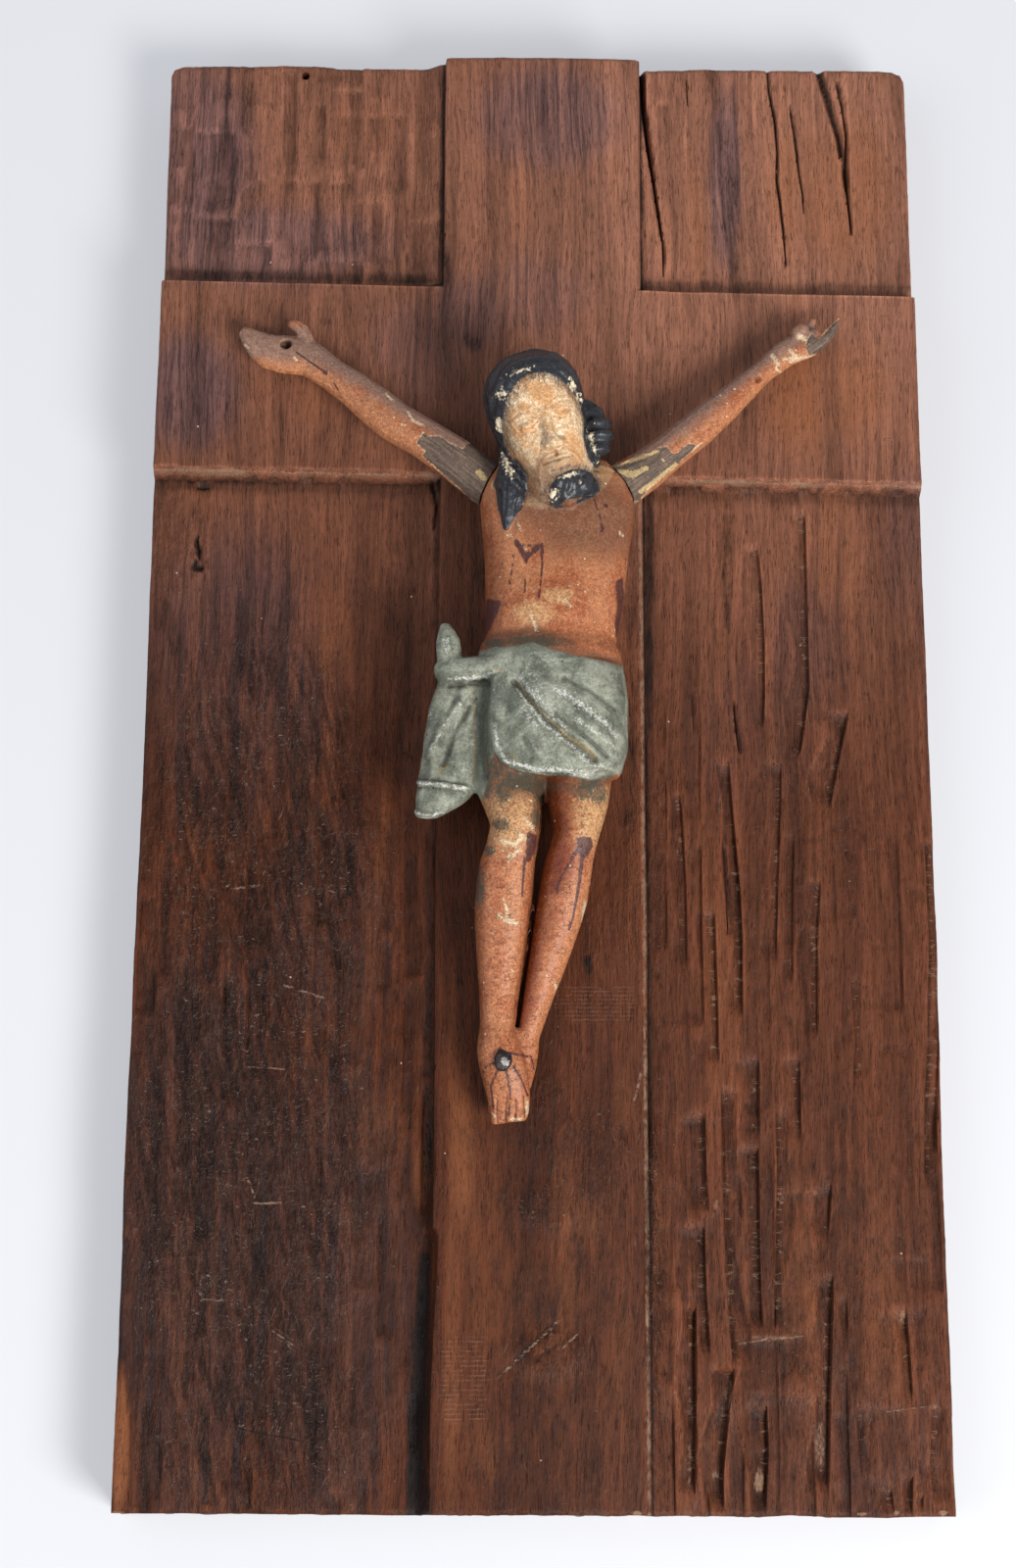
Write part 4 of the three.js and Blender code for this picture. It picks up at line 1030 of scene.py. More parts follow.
# Scrapes in pixels: from, to, half width, how many lines they hold, and strength, below 0 for dark ones.
SCRAPES: list[tuple[tuple[float, float], tuple[float, float], float, float, float]] = [
    ((509.5, 1405), (571, 1348), 3.4, 0.5, 0.8), ((573, 1377), (591, 1360), 2.6, 0.5, 0.7),
    ((450, 1409), (498, 1409), 42.0, 9.5, 0.17), ((568, 1026), (648, 1026), 20.0, 5.0, 0.13),
    ((646, 1128), (654, 1096), 3.4, 0.5, 0.6), ((252, 1200), (259, 1221), 3.0, 0.5, 0.9),
    ((256, 1226), (287, 1226), 3.2, 0.5, 0.9), ((203, 1325), (226, 1325), 2.8, 0.5, 0.8),
    ((250, 1086), (304, 1090), 2.4, 0.5, 0.6), ((276, 1356), (303, 1375), 4.0, 1.0, 0.55),
    ((240, 1457), (312, 1471), 1.7, 0.5, -0.9), ((904, 1440), (950, 1434), 2.2, 0.5, 0.5),
    ((757, 1369), (822, 1362), 3.4, 0.5, 0.5), ((236, 905), (268, 899), 3.0, 0.5, 0.6),
    ((286, 1002), (330, 1016), 3.6, 0.5, 0.6),
]

# Pale bare wood at the ends of cuts, partly a painted highlight on lit facets.
BARE_AND_LIT_ENDS: Ovals = [
    (744, 1420, 5, 26, 0.62), (837, 1475, 8, 36, 0.55), (775, 1512, 7, 17, 0.75), (730, 1504, 6, 7, 0.7),
    (922, 1342, 5, 10, 0.7), (703, 1496, 5, 46, 0.4), (787, 1366, 34, 4, 0.5), (798, 1427, 36, 5, 0.35),
    (965, 1546, 7, 4, 0.9), (650, 1546, 8, 4, 0.8), (880, 1546, 8, 3, 0.7), (731, 1230, 5, 8, 0.5),
    (118, 1546, 12, 4, 0.6), (840, 1420, 10, 30, 0.3), (766, 1180, 6, 40, 0.2), (955, 1435, 12, 3, 0.5),
    (915, 1545, 4, 4, 0.8), (770, 940, 6, 30, 0.25), (812, 700, 8, 40, 0.25),
]

# Two scrapes on the beam, and the panel's orange lower left edge.
BAR_SCRAPES: list[Path] = [[(512, 1402, 2.0), (560, 1357, 4.0)], [(548, 1388, 3), (583, 1362, 2)]]
ORANGE_EDGE = (121, 1475, 15, 100)


def ruled(start: float, end: float, coarse: float, fine: float, near: list[float],
          reach: float) -> np.ndarray:
    """Places along a line, closer together near given ones.

    Args:
        start: where the line starts.
        end: where it ends.
        coarse: the step far from the given places.
        fine: the step at them.
        near: the given places.
        reach: how far from them the step is small.

    Returns:
        The places, from start to end.
    """
    places = [start]
    while places[-1] < end:
        away = np.array(min(abs(places[-1] - value) for value in near))
        places.append(places[-1] + fine + (coarse - fine) * float(eased(away, 0.5 * reach, 1.5 * reach)))
    made = np.array(places)
    return start + (made - start) * (end - start) / (made[-1] - start)


def hewn(x: np.ndarray, y: np.ndarray, wide: float, long: float, depth: float, seed: int) -> np.ndarray:
    """Depth of gouge cuts laid side by side, each with its own length and depth.

    Args:
        x: X of each place.
        y: Y of each place.
        wide: the mean width of a cut.
        long: its mean length.
        depth: the deepest cut.
        seed: picks the cuts.

    Returns:
        How deep the cuts are at each place.
    """
    grit = Grit(seed)
    across = x / wide + 0.10 * grit.over(x, y, 40.0, 90.0, 2)
    column = np.floor(across).astype(np.int64)
    zero = np.zeros_like(column)
    run = y / long + 9.0 * grit.hashed(np.stack([column, zero, zero], -1))
    row = np.floor(run).astype(np.int64)
    deep = grit.hashed(np.stack([column, row, zero + 1], -1))
    share = (across - column) * (0.85 + 0.15 * np.abs(np.sin(7.0 * run)))
    ends = eased(run - row, 0.0, 0.05) * (1.0 - eased(run - row, 0.80, 1.0))
    wall = np.clip((across - column - 1.0) * -wide / 0.8, 0.0, 1.0)
    return depth * np.clip(deep * 1.6 - 0.5, 0.0, 1.0) * ends * (0.3 + 0.7 * share) * wall


@dataclass
class Carving:
    """What is carved so far into each place of the panel's grid, and the marks that colour it."""

    x: np.ndarray
    y: np.ndarray
    height: np.ndarray
    off: np.ndarray
    patchy: np.ndarray
    worn: np.ndarray
    lips: np.ndarray

    def gouged(self, path: Path, width: float, depth: float, side: int, ground: float) -> None:
        """Cuts one gouge cut with its steep wall, lip and worn rim.

        Args:
            path: the wall's points in the photograph.
            width: the floor's width.
            depth: the cut's depth.
            side: the side of the floor on which the wall stands.
            ground: the height on which the path lies.
        """
        line_x, line_y = SIGHT.traced(path, ground)
        bottom, top = line_y[0], line_y[-1]
        wall = np.interp(self.y, line_y, line_x)
        across = (self.x - wall) * side
        reach = min(0.9 * width, 12.0) * (0.86 + 0.2 * np.sin(self.y / 9.0 + wall * 0.3))
        tilt = np.clip(1.0 + across / reach, 0.0, 1.0)
        slope = (0.35 + 0.65 * tilt) * eased(tilt * reach, 0.0, 1.3) * (across <= 0.001)
        slope = np.maximum(slope, (1.0 - across / 0.7) * ((across > 0.0) & (across < 0.7)))
        ends = eased(self.y, bottom - 1.0, bottom + 9.0) * (1.0 - eased(self.y, top - 2.2, top + 0.6))
        chatter = 1.0 + 0.16 * (((self.y + 0.5 * self.x) / 8.7) % 1.0 - 0.5)
        self.height -= self.off * 1.15 * depth * slope * ends * chatter
        lip = ridge(across, 0.4, 0.7) if side < 0 else ridge(across, -reach, 1.4)
        self.lips = np.maximum(self.lips, ends * self.off * ridge(across, -1.0, 2.2) * min(depth / 2.0, 1.0))
        self.worn += 0.42 * ends * lip * self.off * min(depth / 2.5, 1.0) * self.patchy

    def stopped(self, x0: float, x1: float, y0: float, y1: float, drop: float, ground: float) -> None:
        """Cuts one chisel stop, from its row in LEDGES, on the ground's height."""
        (ax, ay), (bx, by) = SIGHT.laid(np.array([[x0, y0], [x1, y1]], float), ground)
        away = self.y - (ay + (by - ay) * (self.x - ax) / (bx - ax))
        band = eased(self.x, ax - 1.5, ax + 1.5) * (1 - eased(self.x, bx - 1.5, bx + 1.5))
        self.height -= self.off * drop * band * (1.0 - eased(away, -1.6, 0.3)) * eased(away, -24.0, -2.0)
        self.worn += 0.35 * band * self.off * ridge(away, 0.0, 0.9) * self.patchy

    def crests(self) -> np.ndarray:
        """How far each place stands out of those round it, from -1 to 1."""
        blurred = self.height
        for _ in range(3):
            padded = np.pad(blurred, ((1, 1), (2, 2)), mode="edge")
            blurred = sum(padded[1:-1, step:step + self.x.shape[1]] for step in range(5)) / 5.0
            padded = np.pad(blurred, ((1, 1), (0, 0)), mode="edge")
            blurred = (padded[:-2] + padded[1:-1] + padded[2:]) / 3.0
        return np.clip((self.height - blurred) / 0.7, -1.0, 1.0)


@dataclass
class CrossPanel:
    """One thick plank with a cross left standing in low relief, hand cut all over."""

    width: float = 362.0
    length: float = 690.0
    ground: float = 36.0
    relief: float = 9.0
    beam_left: float = -45.0
    beam_right: float = 49.0
    bar_low: float = 127.0
    bar_mid: float = 175.0
    bar_high: float = 222.0
    bar_slope: float = -0.0157
    corner: float = 6.0
    rim: float = 1.8
    hole: tuple[float, float] = (-114.0, 339.0)
    nail_hole: tuple[float, float] = (-14.87, -155.57)
    wall_levels: tuple[float, ...] = (30.0, 22.0, 13.0, 5.0, 1.2, 0.0)
    pixel: float = 0.44
    grit: Grit = field(default_factory=lambda: Grit(11))

    def rows_and_columns(self) -> tuple[np.ndarray, np.ndarray]:
        """The grid's places, closer at the cross's edges, as arrays of X and Y."""
        half, reach = self.width / 2, self.length / 2
        walls = [SIGHT.traced(path, self.ground)[0].mean() for path, *_ in GOUGES]
        left = ruled(-half, self.beam_right + 3, 1.55, 0.5, [self.beam_left, self.beam_right, -half], 3.0)
        right = ruled(self.beam_right + 3, half, 1.25, 0.55, [self.beam_right, half, *walls], 1.1)
        rows = ruled(-reach, reach, 2.65, 0.6, [self.bar_low, self.bar_high, -reach, reach], 3.5)
        x, y = np.meshgrid(np.concatenate([left, right[1:]]), rows)
        return x, y + self.bar_slope * x * (1.0 - eased(np.abs(y - self.bar_mid), 70.0, 165.0))

    def edge_x(self, side: int, y: np.ndarray) -> np.ndarray:
        """Where the beam's left (-1) or right (1) edge runs."""
        base = self.beam_left if side < 0 else self.beam_right
        notch = 2.4 * (1 - eased(y, -228.0, -224.0)) * eased(y, -300.0, -226.0) if side < 0 else 0.0
        return base + self.grit.over(y, 10.0 * side, 90.0, 1.0) * 0.55 + notch

    def edge_y(self, side: int, x: np.ndarray) -> np.ndarray:
        """Where the bar's lower (-1) or upper (1) edge runs."""
        base = self.bar_low if side < 0 else self.bar_high
        return base + self.bar_slope * x + self.grit.over(x, 30.0 * side, 70.0, 1.0) * 0.5

    @staticmethod
    def pulled(x: np.ndarray, rows: np.ndarray, line: np.ndarray,
               moves: dict[int, np.ndarray | float]) -> None:
        """Moves the columns nearest a line onto places beside it.

        Args:
            x: X of each grid place, changed in place.
            rows: the rows that the line crosses.
            line: its X in each of them.
            moves: steps from the nearest column to that column's place beside the line.
        """
        near = np.clip(np.abs(x[rows] - line[:, None]).argmin(axis=1), 2, x.shape[1] - 3)
        for step, shift in moves.items():
            x[rows, near + step] = line + shift

    def snapped(self, x: np.ndarray, y: np.ndarray) -> tuple[np.ndarray, np.ndarray]:
        """Moves the nearest columns and rows onto the edges of the cross and of the gouges."""
        start, x, y = x, x.copy(), y.copy()
        for path, *_ in GOUGES:
            line_x, line_y = SIGHT.traced(path, self.ground)
            middle = line_x.mean()
            bend = np.interp(y, line_y, line_x) - middle
            bend *= eased(y, line_y[0] - 30.0, line_y[0]) * (1.0 - eased(y, line_y[-1], line_y[-1] + 30.0))
            bend *= ridge(start, middle, 6.0) * eased(start, self.beam_right, self.beam_right + 9.0)
            x += bend * eased(self.width / 2 - start, 0.0, 12.0)
        for side in (-1, 1):
            edge = self.edge_x(side, y.mean(axis=1))
            self.pulled(x, np.arange(len(x)), edge, {0: side * 0.05, -side: -side * 0.9, side: side * 0.75})
        for path, _, _, side in GOUGES:
            rows, wall = self.crossed(path, y)
            self.pulled(x, rows, wall, {0: 0.0, -side: -side * 0.45})
        for path, _ in SPLITS:
            line_y = SIGHT.traced(path, self.ground)[1]
            if line_y[-1] - line_y[0] >= 12.0:
                rows, wall = self.crossed(path, y)
                widths = [half for *_, half in sorted(path, key=lambda mark: -mark[1])]
                half = np.maximum(np.interp(y[rows, -1], line_y, np.array(widths) * self.pixel), 0.35)
                self.pulled(x, rows, wall, {0: 0.0, -1: -half, 1: half})
        return np.sort(x, axis=1), np.sort(y, axis=0)

    def crossed(self, path: Path, y: np.ndarray) -> tuple[np.ndarray, np.ndarray]:
        """The grid's rows that a path crosses, and the path's X in each of them."""
        line_x, line_y = SIGHT.traced(path, self.ground)
        rows = np.flatnonzero((y[:, -1] >= line_y[0]) & (y[:, -1] <= line_y[-1]))
        return rows, np.interp(y[rows, -1], line_y, line_x)

    def heights(self, x: np.ndarray, y: np.ndarray) -> tuple[np.ndarray, dict[str, np.ndarray]]:
        """The carved side's height and the marks that colour it.

        Args:
            x: X of each grid place.
            y: Y of each grid place.

        Returns:
            Z of each place, and named marks from -1 to 1.
        """
        over = self.grit.over
        in_beam = np.minimum(x - self.edge_x(-1, y), self.edge_x(1, y) - x)
        in_bar = np.minimum(y - self.edge_y(-1, x), self.edge_y(1, x) - y)
        tear = over(x, y, 9.0, 2.2)
        step = self.stepped(x, y, in_beam, in_bar, tear)
        off = 1.0 - step
        roll, cuts, tiny = over(x, y, 60.0, 130.0), over(x, y, 7.0, 34.0, 2), over(x, y, 2.6, 9.0, 2)
        chips = eased(over(x, y, 4.5, 6.5), 0.25, 0.6)
        floor = self.ground - 0.5 + 0.5 * roll + 0.25 * cuts + 0.09 * tiny
        furrow = np.abs(over(x + 3.0 * roll.mean(), y, 5.0, 62.0, 2))
        floor += (0.35 + 0.65 * eased(-y, -80.0, 40.0)) * (-0.75 * furrow - 0.4 * chips)
        floor -= self.field_cuts(x, y)
        floor += 4.6 * ridge(np.minimum(in_beam, 0.0), 0.0, 8.0) * (x < 0) * eased(y, -215.0, -120.0)
        rise = self.relief + 0.2 - 0.35 * np.abs(roll) + 0.1 * cuts - 0.3 - 0.15 * chips * (y < 100)
        height = floor * off + (self.ground + rise + 0.05 * tiny) * step
        patchy = eased(over(x, y, 16.0, 30.0, 2), -0.5, 0.35)
        # Pale rims of the cross: wear, stronger on the beam's right edge and the bar's lower ledge, which
        # face the light, and there partly a painted highlight.
        rim = ridge(in_beam, 0.9, 1.5) * eased(-in_bar, 0.0, 3.0)
        worn = rim * np.where(x > 0, (0.62 + 0.3 * tear) * np.where(y < 130, 1.0, 0.35), 0.22 * patchy)
        off_beam = eased(-in_beam, -1.0, 1.0)
        strip = (1.15 - 0.35 * eased(x, 0.0, 60.0)) * (1.0 + 0.5 * tear)
        worn += ridge(in_bar, -1.3, strip) * off_beam * (y < self.bar_mid) * (0.55 + 0.45 * patchy)
        worn += 0.3 * ridge(in_bar, 0.2, 0.6) * off_beam * (y > self.bar_mid) * patchy

        cut = Carving(x, y, height, off, patchy, worn, np.zeros(x.shape))
        for row in GOUGES:
            cut.gouged(*row, self.ground)
        for row in LEDGES:
            cut.stopped(*row, self.ground)
        seen = SIGHT.seen(np.stack([x, y, cut.height], -1))
        crack = np.zeros(x.shape)
        for path, depth in SPLITS:
            inside = np.clip(along(seen, path), 0.0, 1.0)
            cut.height -= depth * inside ** 0.8 * (step <= 0.75)
            crack = np.maximum(crack, inside)
        scrape = np.max([along(seen, path) for path in BAR_SCRAPES], axis=0) + 0.35 * over(x, y, 2.5, 2.5)
        cut.height -= 1.3 * eased(scrape, -0.1, 0.6) * step
        worn = cut.worn + 0.35 * ridge(scrape, 0.0, 0.3) * step
        crest = cut.crests() * (1.0 - eased(np.abs(in_beam), 4.0, 0.0))
        out = np.minimum(self.width / 2 - np.abs(x), self.length / 2 - np.abs(y))
        height = cut.height - self.rim * (1.0 - eased(out, -1.0, 2.2)) * (0.6 + 0.4 * tear)

        # Painted shade: dark bands at the foot of the beam's walls and under the bar's lower ledge, laid into
        # the stain mask.
        shade = ridge(in_beam, -0.9, 1.1) * off * np.where((x < 0) & (y < 120), 0.4, 1.0)
        shade += 1.15 * ridge(in_bar, -3.1, 0.8) * off
        stain_and_shade = np.maximum(stroked(seen, STAINS_AND_SHADE, -0.6, 0.7), np.maximum(0.8 * shade, crack))
        # The wood is paler towards the top and to the right.
        tone = eased(y, -60.0, 300.0) * (0.75 + 0.25 * eased(x, -60.0, 60.0)) + 0.10 * eased(x, -20.0, 60.0)
        cool = patched(seen, COOL_AND_GLARE, 0.6) * (1.0 - eased(blob(seen, *ORANGE_EDGE), 0.0, 0.3))
        worn = np.clip(np.maximum(worn, patched(seen, BARE_AND_LIT_ENDS, 0.5)), 0, 1) * (1 - crack)
        return height, {"stain_and_shade": stain_and_shade, "warm": patched(seen, WARM, 0.7), "scuff": patched(seen, SCUFFS, 0.6),
                        "worn": worn, "tone": tone, "cool": cool, "lip": cut.lips, "crest": crest}

    def stepped(self, x: np.ndarray, y: np.ndarray, in_beam: np.ndarray, in_bar: np.ndarray,
                tear: np.ndarray) -> np.ndarray:
        """The rise from the ground to the cross.

        Args:
            x: X of each place.
            y: Y of each place.
            in_beam: how far inside the beam it is.
            in_bar: how far inside the bar it is.
            tear: noise that tears the bar's lower edge.

        Returns:
            0 on the ground, 1 on the cross.
        """
        wall = 0.75 + np.where(x < 0, 5.0 * eased(-y, 200.0, 222.0), 0.0)
        round_off = np.where(x > 0, 0.13, 0.06) * (1 - eased(in_beam, 0.0, 2.6))
        beam = np.clip(in_beam / wall + 1.0, 0.0, 1.0) ** 1.4 * (1.0 - round_off)
        ledge = 0.76 * eased(in_bar + 0.9 * tear, -2.6, -1.8) + 0.24 * eased(in_bar + 0.6 * tear, -1.2, 0.1)
        return np.maximum(beam, np.where(y < self.bar_mid, ledge, eased(in_bar, -1.5, 0.4)))

    def field_cuts(self, x: np.ndarray, y: np.ndarray) -> np.ndarray:
        """How deep the rows of tool cuts are in the right, lower left and upper left fields."""
        right = eased(x, 50.0, 56.0)
        cuts = right * (0.35 + 0.65 * eased(-y, -60.0, 120.0)) * hewn(x, y, 15.0, 95.0, 1.9, 5)
        cuts += right * (0.1 + 0.9 * eased(-y, 60.0, 200.0)) * hewn(x, y, 9.0, 50.0, 0.8, 6)
        lower = (1 - right) * (0.25 + 0.75 * eased(-y, -60.0, 120.0)) * (x < self.beam_left)
        cuts += lower * (hewn(-x, y, 10.0, 60.0, 2.2, 7) + hewn(x, y, 5.5, 26.0, 1.3, 8))
        upper = eased(y, self.bar_high, self.bar_high + 10.0) * (x < self.beam_left)
        return cuts + upper * (hewn(x, -y, 21.0, 46.0, 1.5, 9) + hewn(-x, y, 12.0, 30.0, 0.8, 10))

    def outlined(self, x: np.ndarray, y: np.ndarray) -> tuple[np.ndarray, np.ndarray]:
        """Draws the outer rows and columns in to a worn, rounded outline."""
        half, reach = self.width / 2, self.length / 2
        side = self.grit.over(y, np.sign(x) * 50.0, 95.0, 1.0, 4)
        end = self.grit.over(x, np.sign(y) * 70.0, 28.0, 1.0, 4)
        dx, dy = np.abs(x) - (half - self.corner), np.abs(y) - (reach - self.corner)
        both = 0.30 * np.clip(np.minimum(dx, dy), 0, None) * (y > 0)
        draw = np.maximum(0.9 + 0.9 * side, 0.05) * eased(np.abs(x), half - 30.0, half) + both
        pull = np.maximum(0.7 + 0.7 * end, 0.05) * eased(np.abs(y), reach - 20.0, reach) + both
        return x - np.sign(x) * draw, y - np.sign(y) * pull

    def shaped(self) -> bpy.types.Object:
        """Models the plank: a grid for the carved side, its walls and back drawn down from its rim."""
        x, y = self.snapped(*self.rows_and_columns())
        height, marks = self.heights(x, y)
        x, y = self.outlined(x, y)
        many_y, many_x = x.shape
        bpy.ops.object.select_all(action="DESELECT")
        bpy.ops.mesh.primitive_grid_add(x_subdivisions=many_x - 1, y_subdivisions=many_y - 1, size=1.0)
        piece = bpy.context.object
        piece.name = "carved_panel"
        spots = spots_of(piece) * MM
        column = np.rint((spots[:, 0] + 0.5) * (many_x - 1)).astype(int)
        row = np.rint((spots[:, 1] + 0.5) * (many_y - 1)).astype(int)
        set_spots(piece, np.stack([x, y, height], -1)[row, column])
        store(piece, **{name: values[row, column] for name, values in marks.items()})
        top = len(spots)
        with editing(piece):
            bpy.ops.mesh.select_mode(type="EDGE")
            bpy.ops.mesh.select_all(action="DESELECT")
            bpy.ops.mesh.select_non_manifold(extend=False, use_boundary=True, use_wire=False,
                                             use_multi_face=False, use_non_contiguous=False, use_verts=False)
        for level in self.wall_levels:
            with editing(piece):
                bpy.ops.mesh.extrude_edges_move(TRANSFORM_OT_translate={"value": (0.0, 0.0, -MM)})
            spots = spots_of(piece)
            chosen = read(piece.data.vertices, "select", 1, bool)[:, 0]
            spots[chosen, 2] = level
            if level == 0.0:
                spots[chosen, :2] *= 1.0 - 1.1 / 181.0
            set_spots(piece, spots)
        with editing(piece):
            bpy.ops.mesh.edge_face_add()
            bpy.ops.mesh.select_all(action="SELECT")
            bpy.ops.mesh.normals_make_consistent(inside=False)
        spots = spots_of(piece)
        saw = self.grit.layered(spots, (5.0, 5.0, 9.0), 3)
        inward = -0.35 * (1 + saw) * (np.arange(len(spots)) >= top) * (spots[:, 2] > 0.5)
        spots[:, :2] *= 1.0 + (inward / (self.width / 2))[:, None]
        set_spots(piece, spots)
        return piece

    def build(self, groups: Groups) -> bpy.types.Object:
        """Models and dresses the panel, with its hanging hole and the foot nail's hole."""
        piece = self.shaped()
        for spot, radius, floor in ((self.hole, 1.8, 12.0), (self.nail_hole, 2.0, 22.6)):
            drill = cylinder(spot, radius, floor, 60.0, 28)
            applied(piece, "BOOLEAN", operation="DIFFERENCE", object=drill, solver="EXACT")
            bpy.data.objects.remove(drill)
        finished(piece, DarkHardwood().made(groups), Slot.HARDWOOD, "cross_panel")
        only(piece)
        bpy.ops.object.shade_smooth_by_angle(angle=math.radians(40.0))
        return piece


# Runs of blood: x, y and half width in pixels.
BLOOD: list[Path] = [
    [(527, 552.4, 2.4), (536, 568.5, 3.2), (553, 556.3, 2.8)],
    [(526, 556, 1.6), (545, 557, 1.4), (556, 555, 1.4)],
    [(524.6, 562, 1.2), (523, 578, 0.9), (520.6, 592, 0.9)], [(520.6, 592, 1.7), (520.2, 595, 1.5)],
    [(537.6, 566, 1.6), (536.4, 584, 1.0), (535.4, 604, 0.9), (533.8, 625, 0.8)],
    [(552.9, 558, 1.8), (553.4, 576, 1.2), (552, 592, 1.0), (550.4, 606, 0.9)],
    [(550.4, 606, 1.9), (550.2, 609, 1.6)], [(606.5, 510, 0.8), (612, 526, 0.9), (615.1, 541, 1.1)],
    [(614.4, 541, 2.2), (616.5, 542, 2.2)], [(617.6, 515.6, 1.8), (619, 516.4, 1.8)],
    [(589.7, 867, 1.7), (574, 892, 1.2), (568, 908, 1.1)], [(568.2, 908, 1.9), (568.4, 911, 1.7)],
    [(594.5, 872, 2.2), (591, 902, 1.6), (585, 936, 1.2), (581.4, 946, 1.0)],
    [(581.2, 945, 1.9), (581, 948, 1.7)], [(535.5, 876, 1.8), (534, 896, 1.2), (532.6, 916, 0.9)],
    [(507.5, 1084, 1.6), (496, 1088, 1.2), (492.6, 1095, 0.8)], [(512, 1078, 3.4), (510.6, 1071, 2.2)],
    [(520, 1074.6, 1.6), (542, 1078.7, 1.3), (545, 1091, 0.9)],
    [(508.5, 1090, 1.4), (501, 1108, 1.1), (503.6, 1132, 1.0)],
    [(516.6, 1092, 1.5), (520.6, 1114, 1.2), (519.4, 1139, 0.9)],
    [(524, 1088, 1.4), (532.7, 1103, 1.1), (538.8, 1118, 1.0)], [(301.6, 359, 0.9), (332, 380, 1.1)],
    [(331, 379.6, 2.0), (333, 381, 1.8)], [(341, 391, 0.7), (345, 398, 0.8)],
    [(532, 462, 0.1), (532, 463, 0.1)],
]

# Outlines of larger patches of blood.
BLOOD_PATCHES: list[Path] = [
    [(497, 611), (512, 613), (507, 628), (500, 642), (493, 656), (491, 640)],
    [(628, 593), (636, 589), (637, 606), (636, 630), (630, 656), (627, 640), (630, 616)],
    [(538, 849), (548.5, 852), (546.5, 868), (541, 879), (536, 879)],
    [(588.5, 854.5), (603, 854), (605.6, 863), (599.4, 876), (590, 871)],
]

# Lit, worn edges of the limbs: a painted highlight in paler, rosier paint.
LIT_EDGES: list[Path] = [
    [(660, 508, 7), (690, 486, 7), (750, 427, 6), (781, 394, 6), (806, 374, 7), (838, 355, 6)],
    [(258, 374, 9), (308, 380, 11), (350, 410, 13), (390, 442, 16), (422, 464, 15)],
    [(594, 560, 12), (610, 590, 12), (612, 625, 9)], [(525, 560, 14), (530, 590, 12)],
    [(524, 890, 9), (528, 950, 9), (526, 1010, 8)],
    [(592, 900, 7), (587, 950, 8), (572, 1000, 6), (556, 1035, 7)], [(605, 830, 6), (600, 870, 5)],
]

# Places in deep shadow or dirt, with their strength.
SHADES: Strokes = [
    ([(566, 797, 14), (569, 848, 14), (560, 875, 13), (546, 953, 12), (536, 1023, 9), (532, 1047, 7)], 1.0),
    ([(488, 880, 9), (486, 960, 9), (488, 1060, 9)], 0.5),
    ([(500, 545, 10), (503, 600, 10), (498, 640, 10)], 0.5), ([(548, 820, 4), (548, 900, 4)], 0.4),
    ([(488, 1090, 8), (496, 1140, 8)], 0.5), ([(574, 866, 16), (566, 904, 13)], 1.0),
    ([(560, 930, 12), (552, 960, 10)], 0.7), ([(448, 700, 20), (440, 790, 24), (440, 825, 18)], 0.40),
    ([(529, 484, 7), (541, 500, 9)], 0.6), ([(620, 690, 18), (625, 740, 16), (610, 780, 14)], 0.38),
    ([(510, 770, 16), (560, 780, 14)], 0.20),
]

# Sooty places, and painted shade under the chin and below the cloth's hem, with their strength.
SMOKE_AND_SHADE: Strokes = [
    ([(560, 505, 34), (585, 525, 36), (615, 530, 34)], 1.15), ([(528, 500, 14), (545, 545, 12)], 0.5),
    ([(496, 472, 12), (440, 427, 12), (394, 395, 13), (338, 364, 13), (308, 349, 15), (284, 349, 16),
      (250, 349, 14)], 1.05),
    ([(656, 455, 12), (701, 426, 12), (742, 390, 12), (777, 365, 10), (801, 348, 9), (827, 339, 10)], 1.0),
    ([(496, 657, 7), (520, 653, 9), (548, 652, 11), (582, 660, 7)], 1.2),
    ([(590, 662, 4), (632, 678, 5)], 0.7), ([(497, 692, 6), (494, 740, 8), (494, 790, 8)], 1.1),
    ([(505, 800, 12), (536, 800, 14)], 0.8), ([(500, 1080, 14), (525, 1100, 20), (520, 1140, 16)], 0.16),
    ([(514, 797, 5), (550, 803, 5), (590, 802, 5), (622, 796, 5)], 1.0),
    ([(528, 480, 9), (552, 508, 11), (586, 514, 9)], 1.2),
]

# Dark greenish patches: x, y, radii in pixels and lean in degrees.
MOSS: Ovals = [
    (532, 795, 26, 12, 12), (545, 655, 26, 7, 0), (506, 657, 10, 5, 0), (513, 808, 8, 12, 0),
    (511.6, 841.4, 9, 6, 0), (546.4, 834, 5, 11, 0), (596.4, 807.5, 13, 8, -8), (611, 811, 9, 9, 0),
    (497, 800, 6, 16, 0), (500, 868, 6, 5, 0), (489, 905, 6, 20, 0), (550, 804, 7, 18, 0),
    (508, 782, 12, 14, 0), (524, 800, 12, 8, 0), (604, 800, 12, 6, 0),
]

# Yellowed patches, as above.
OCHRE: Ovals = [
    (520, 830, 30, 36, 0), (606, 830, 20, 34, 8), (545, 625, 18, 12, 0), (560, 488, 18, 10, 0),
    (570, 608, 16, 8, 0),
]

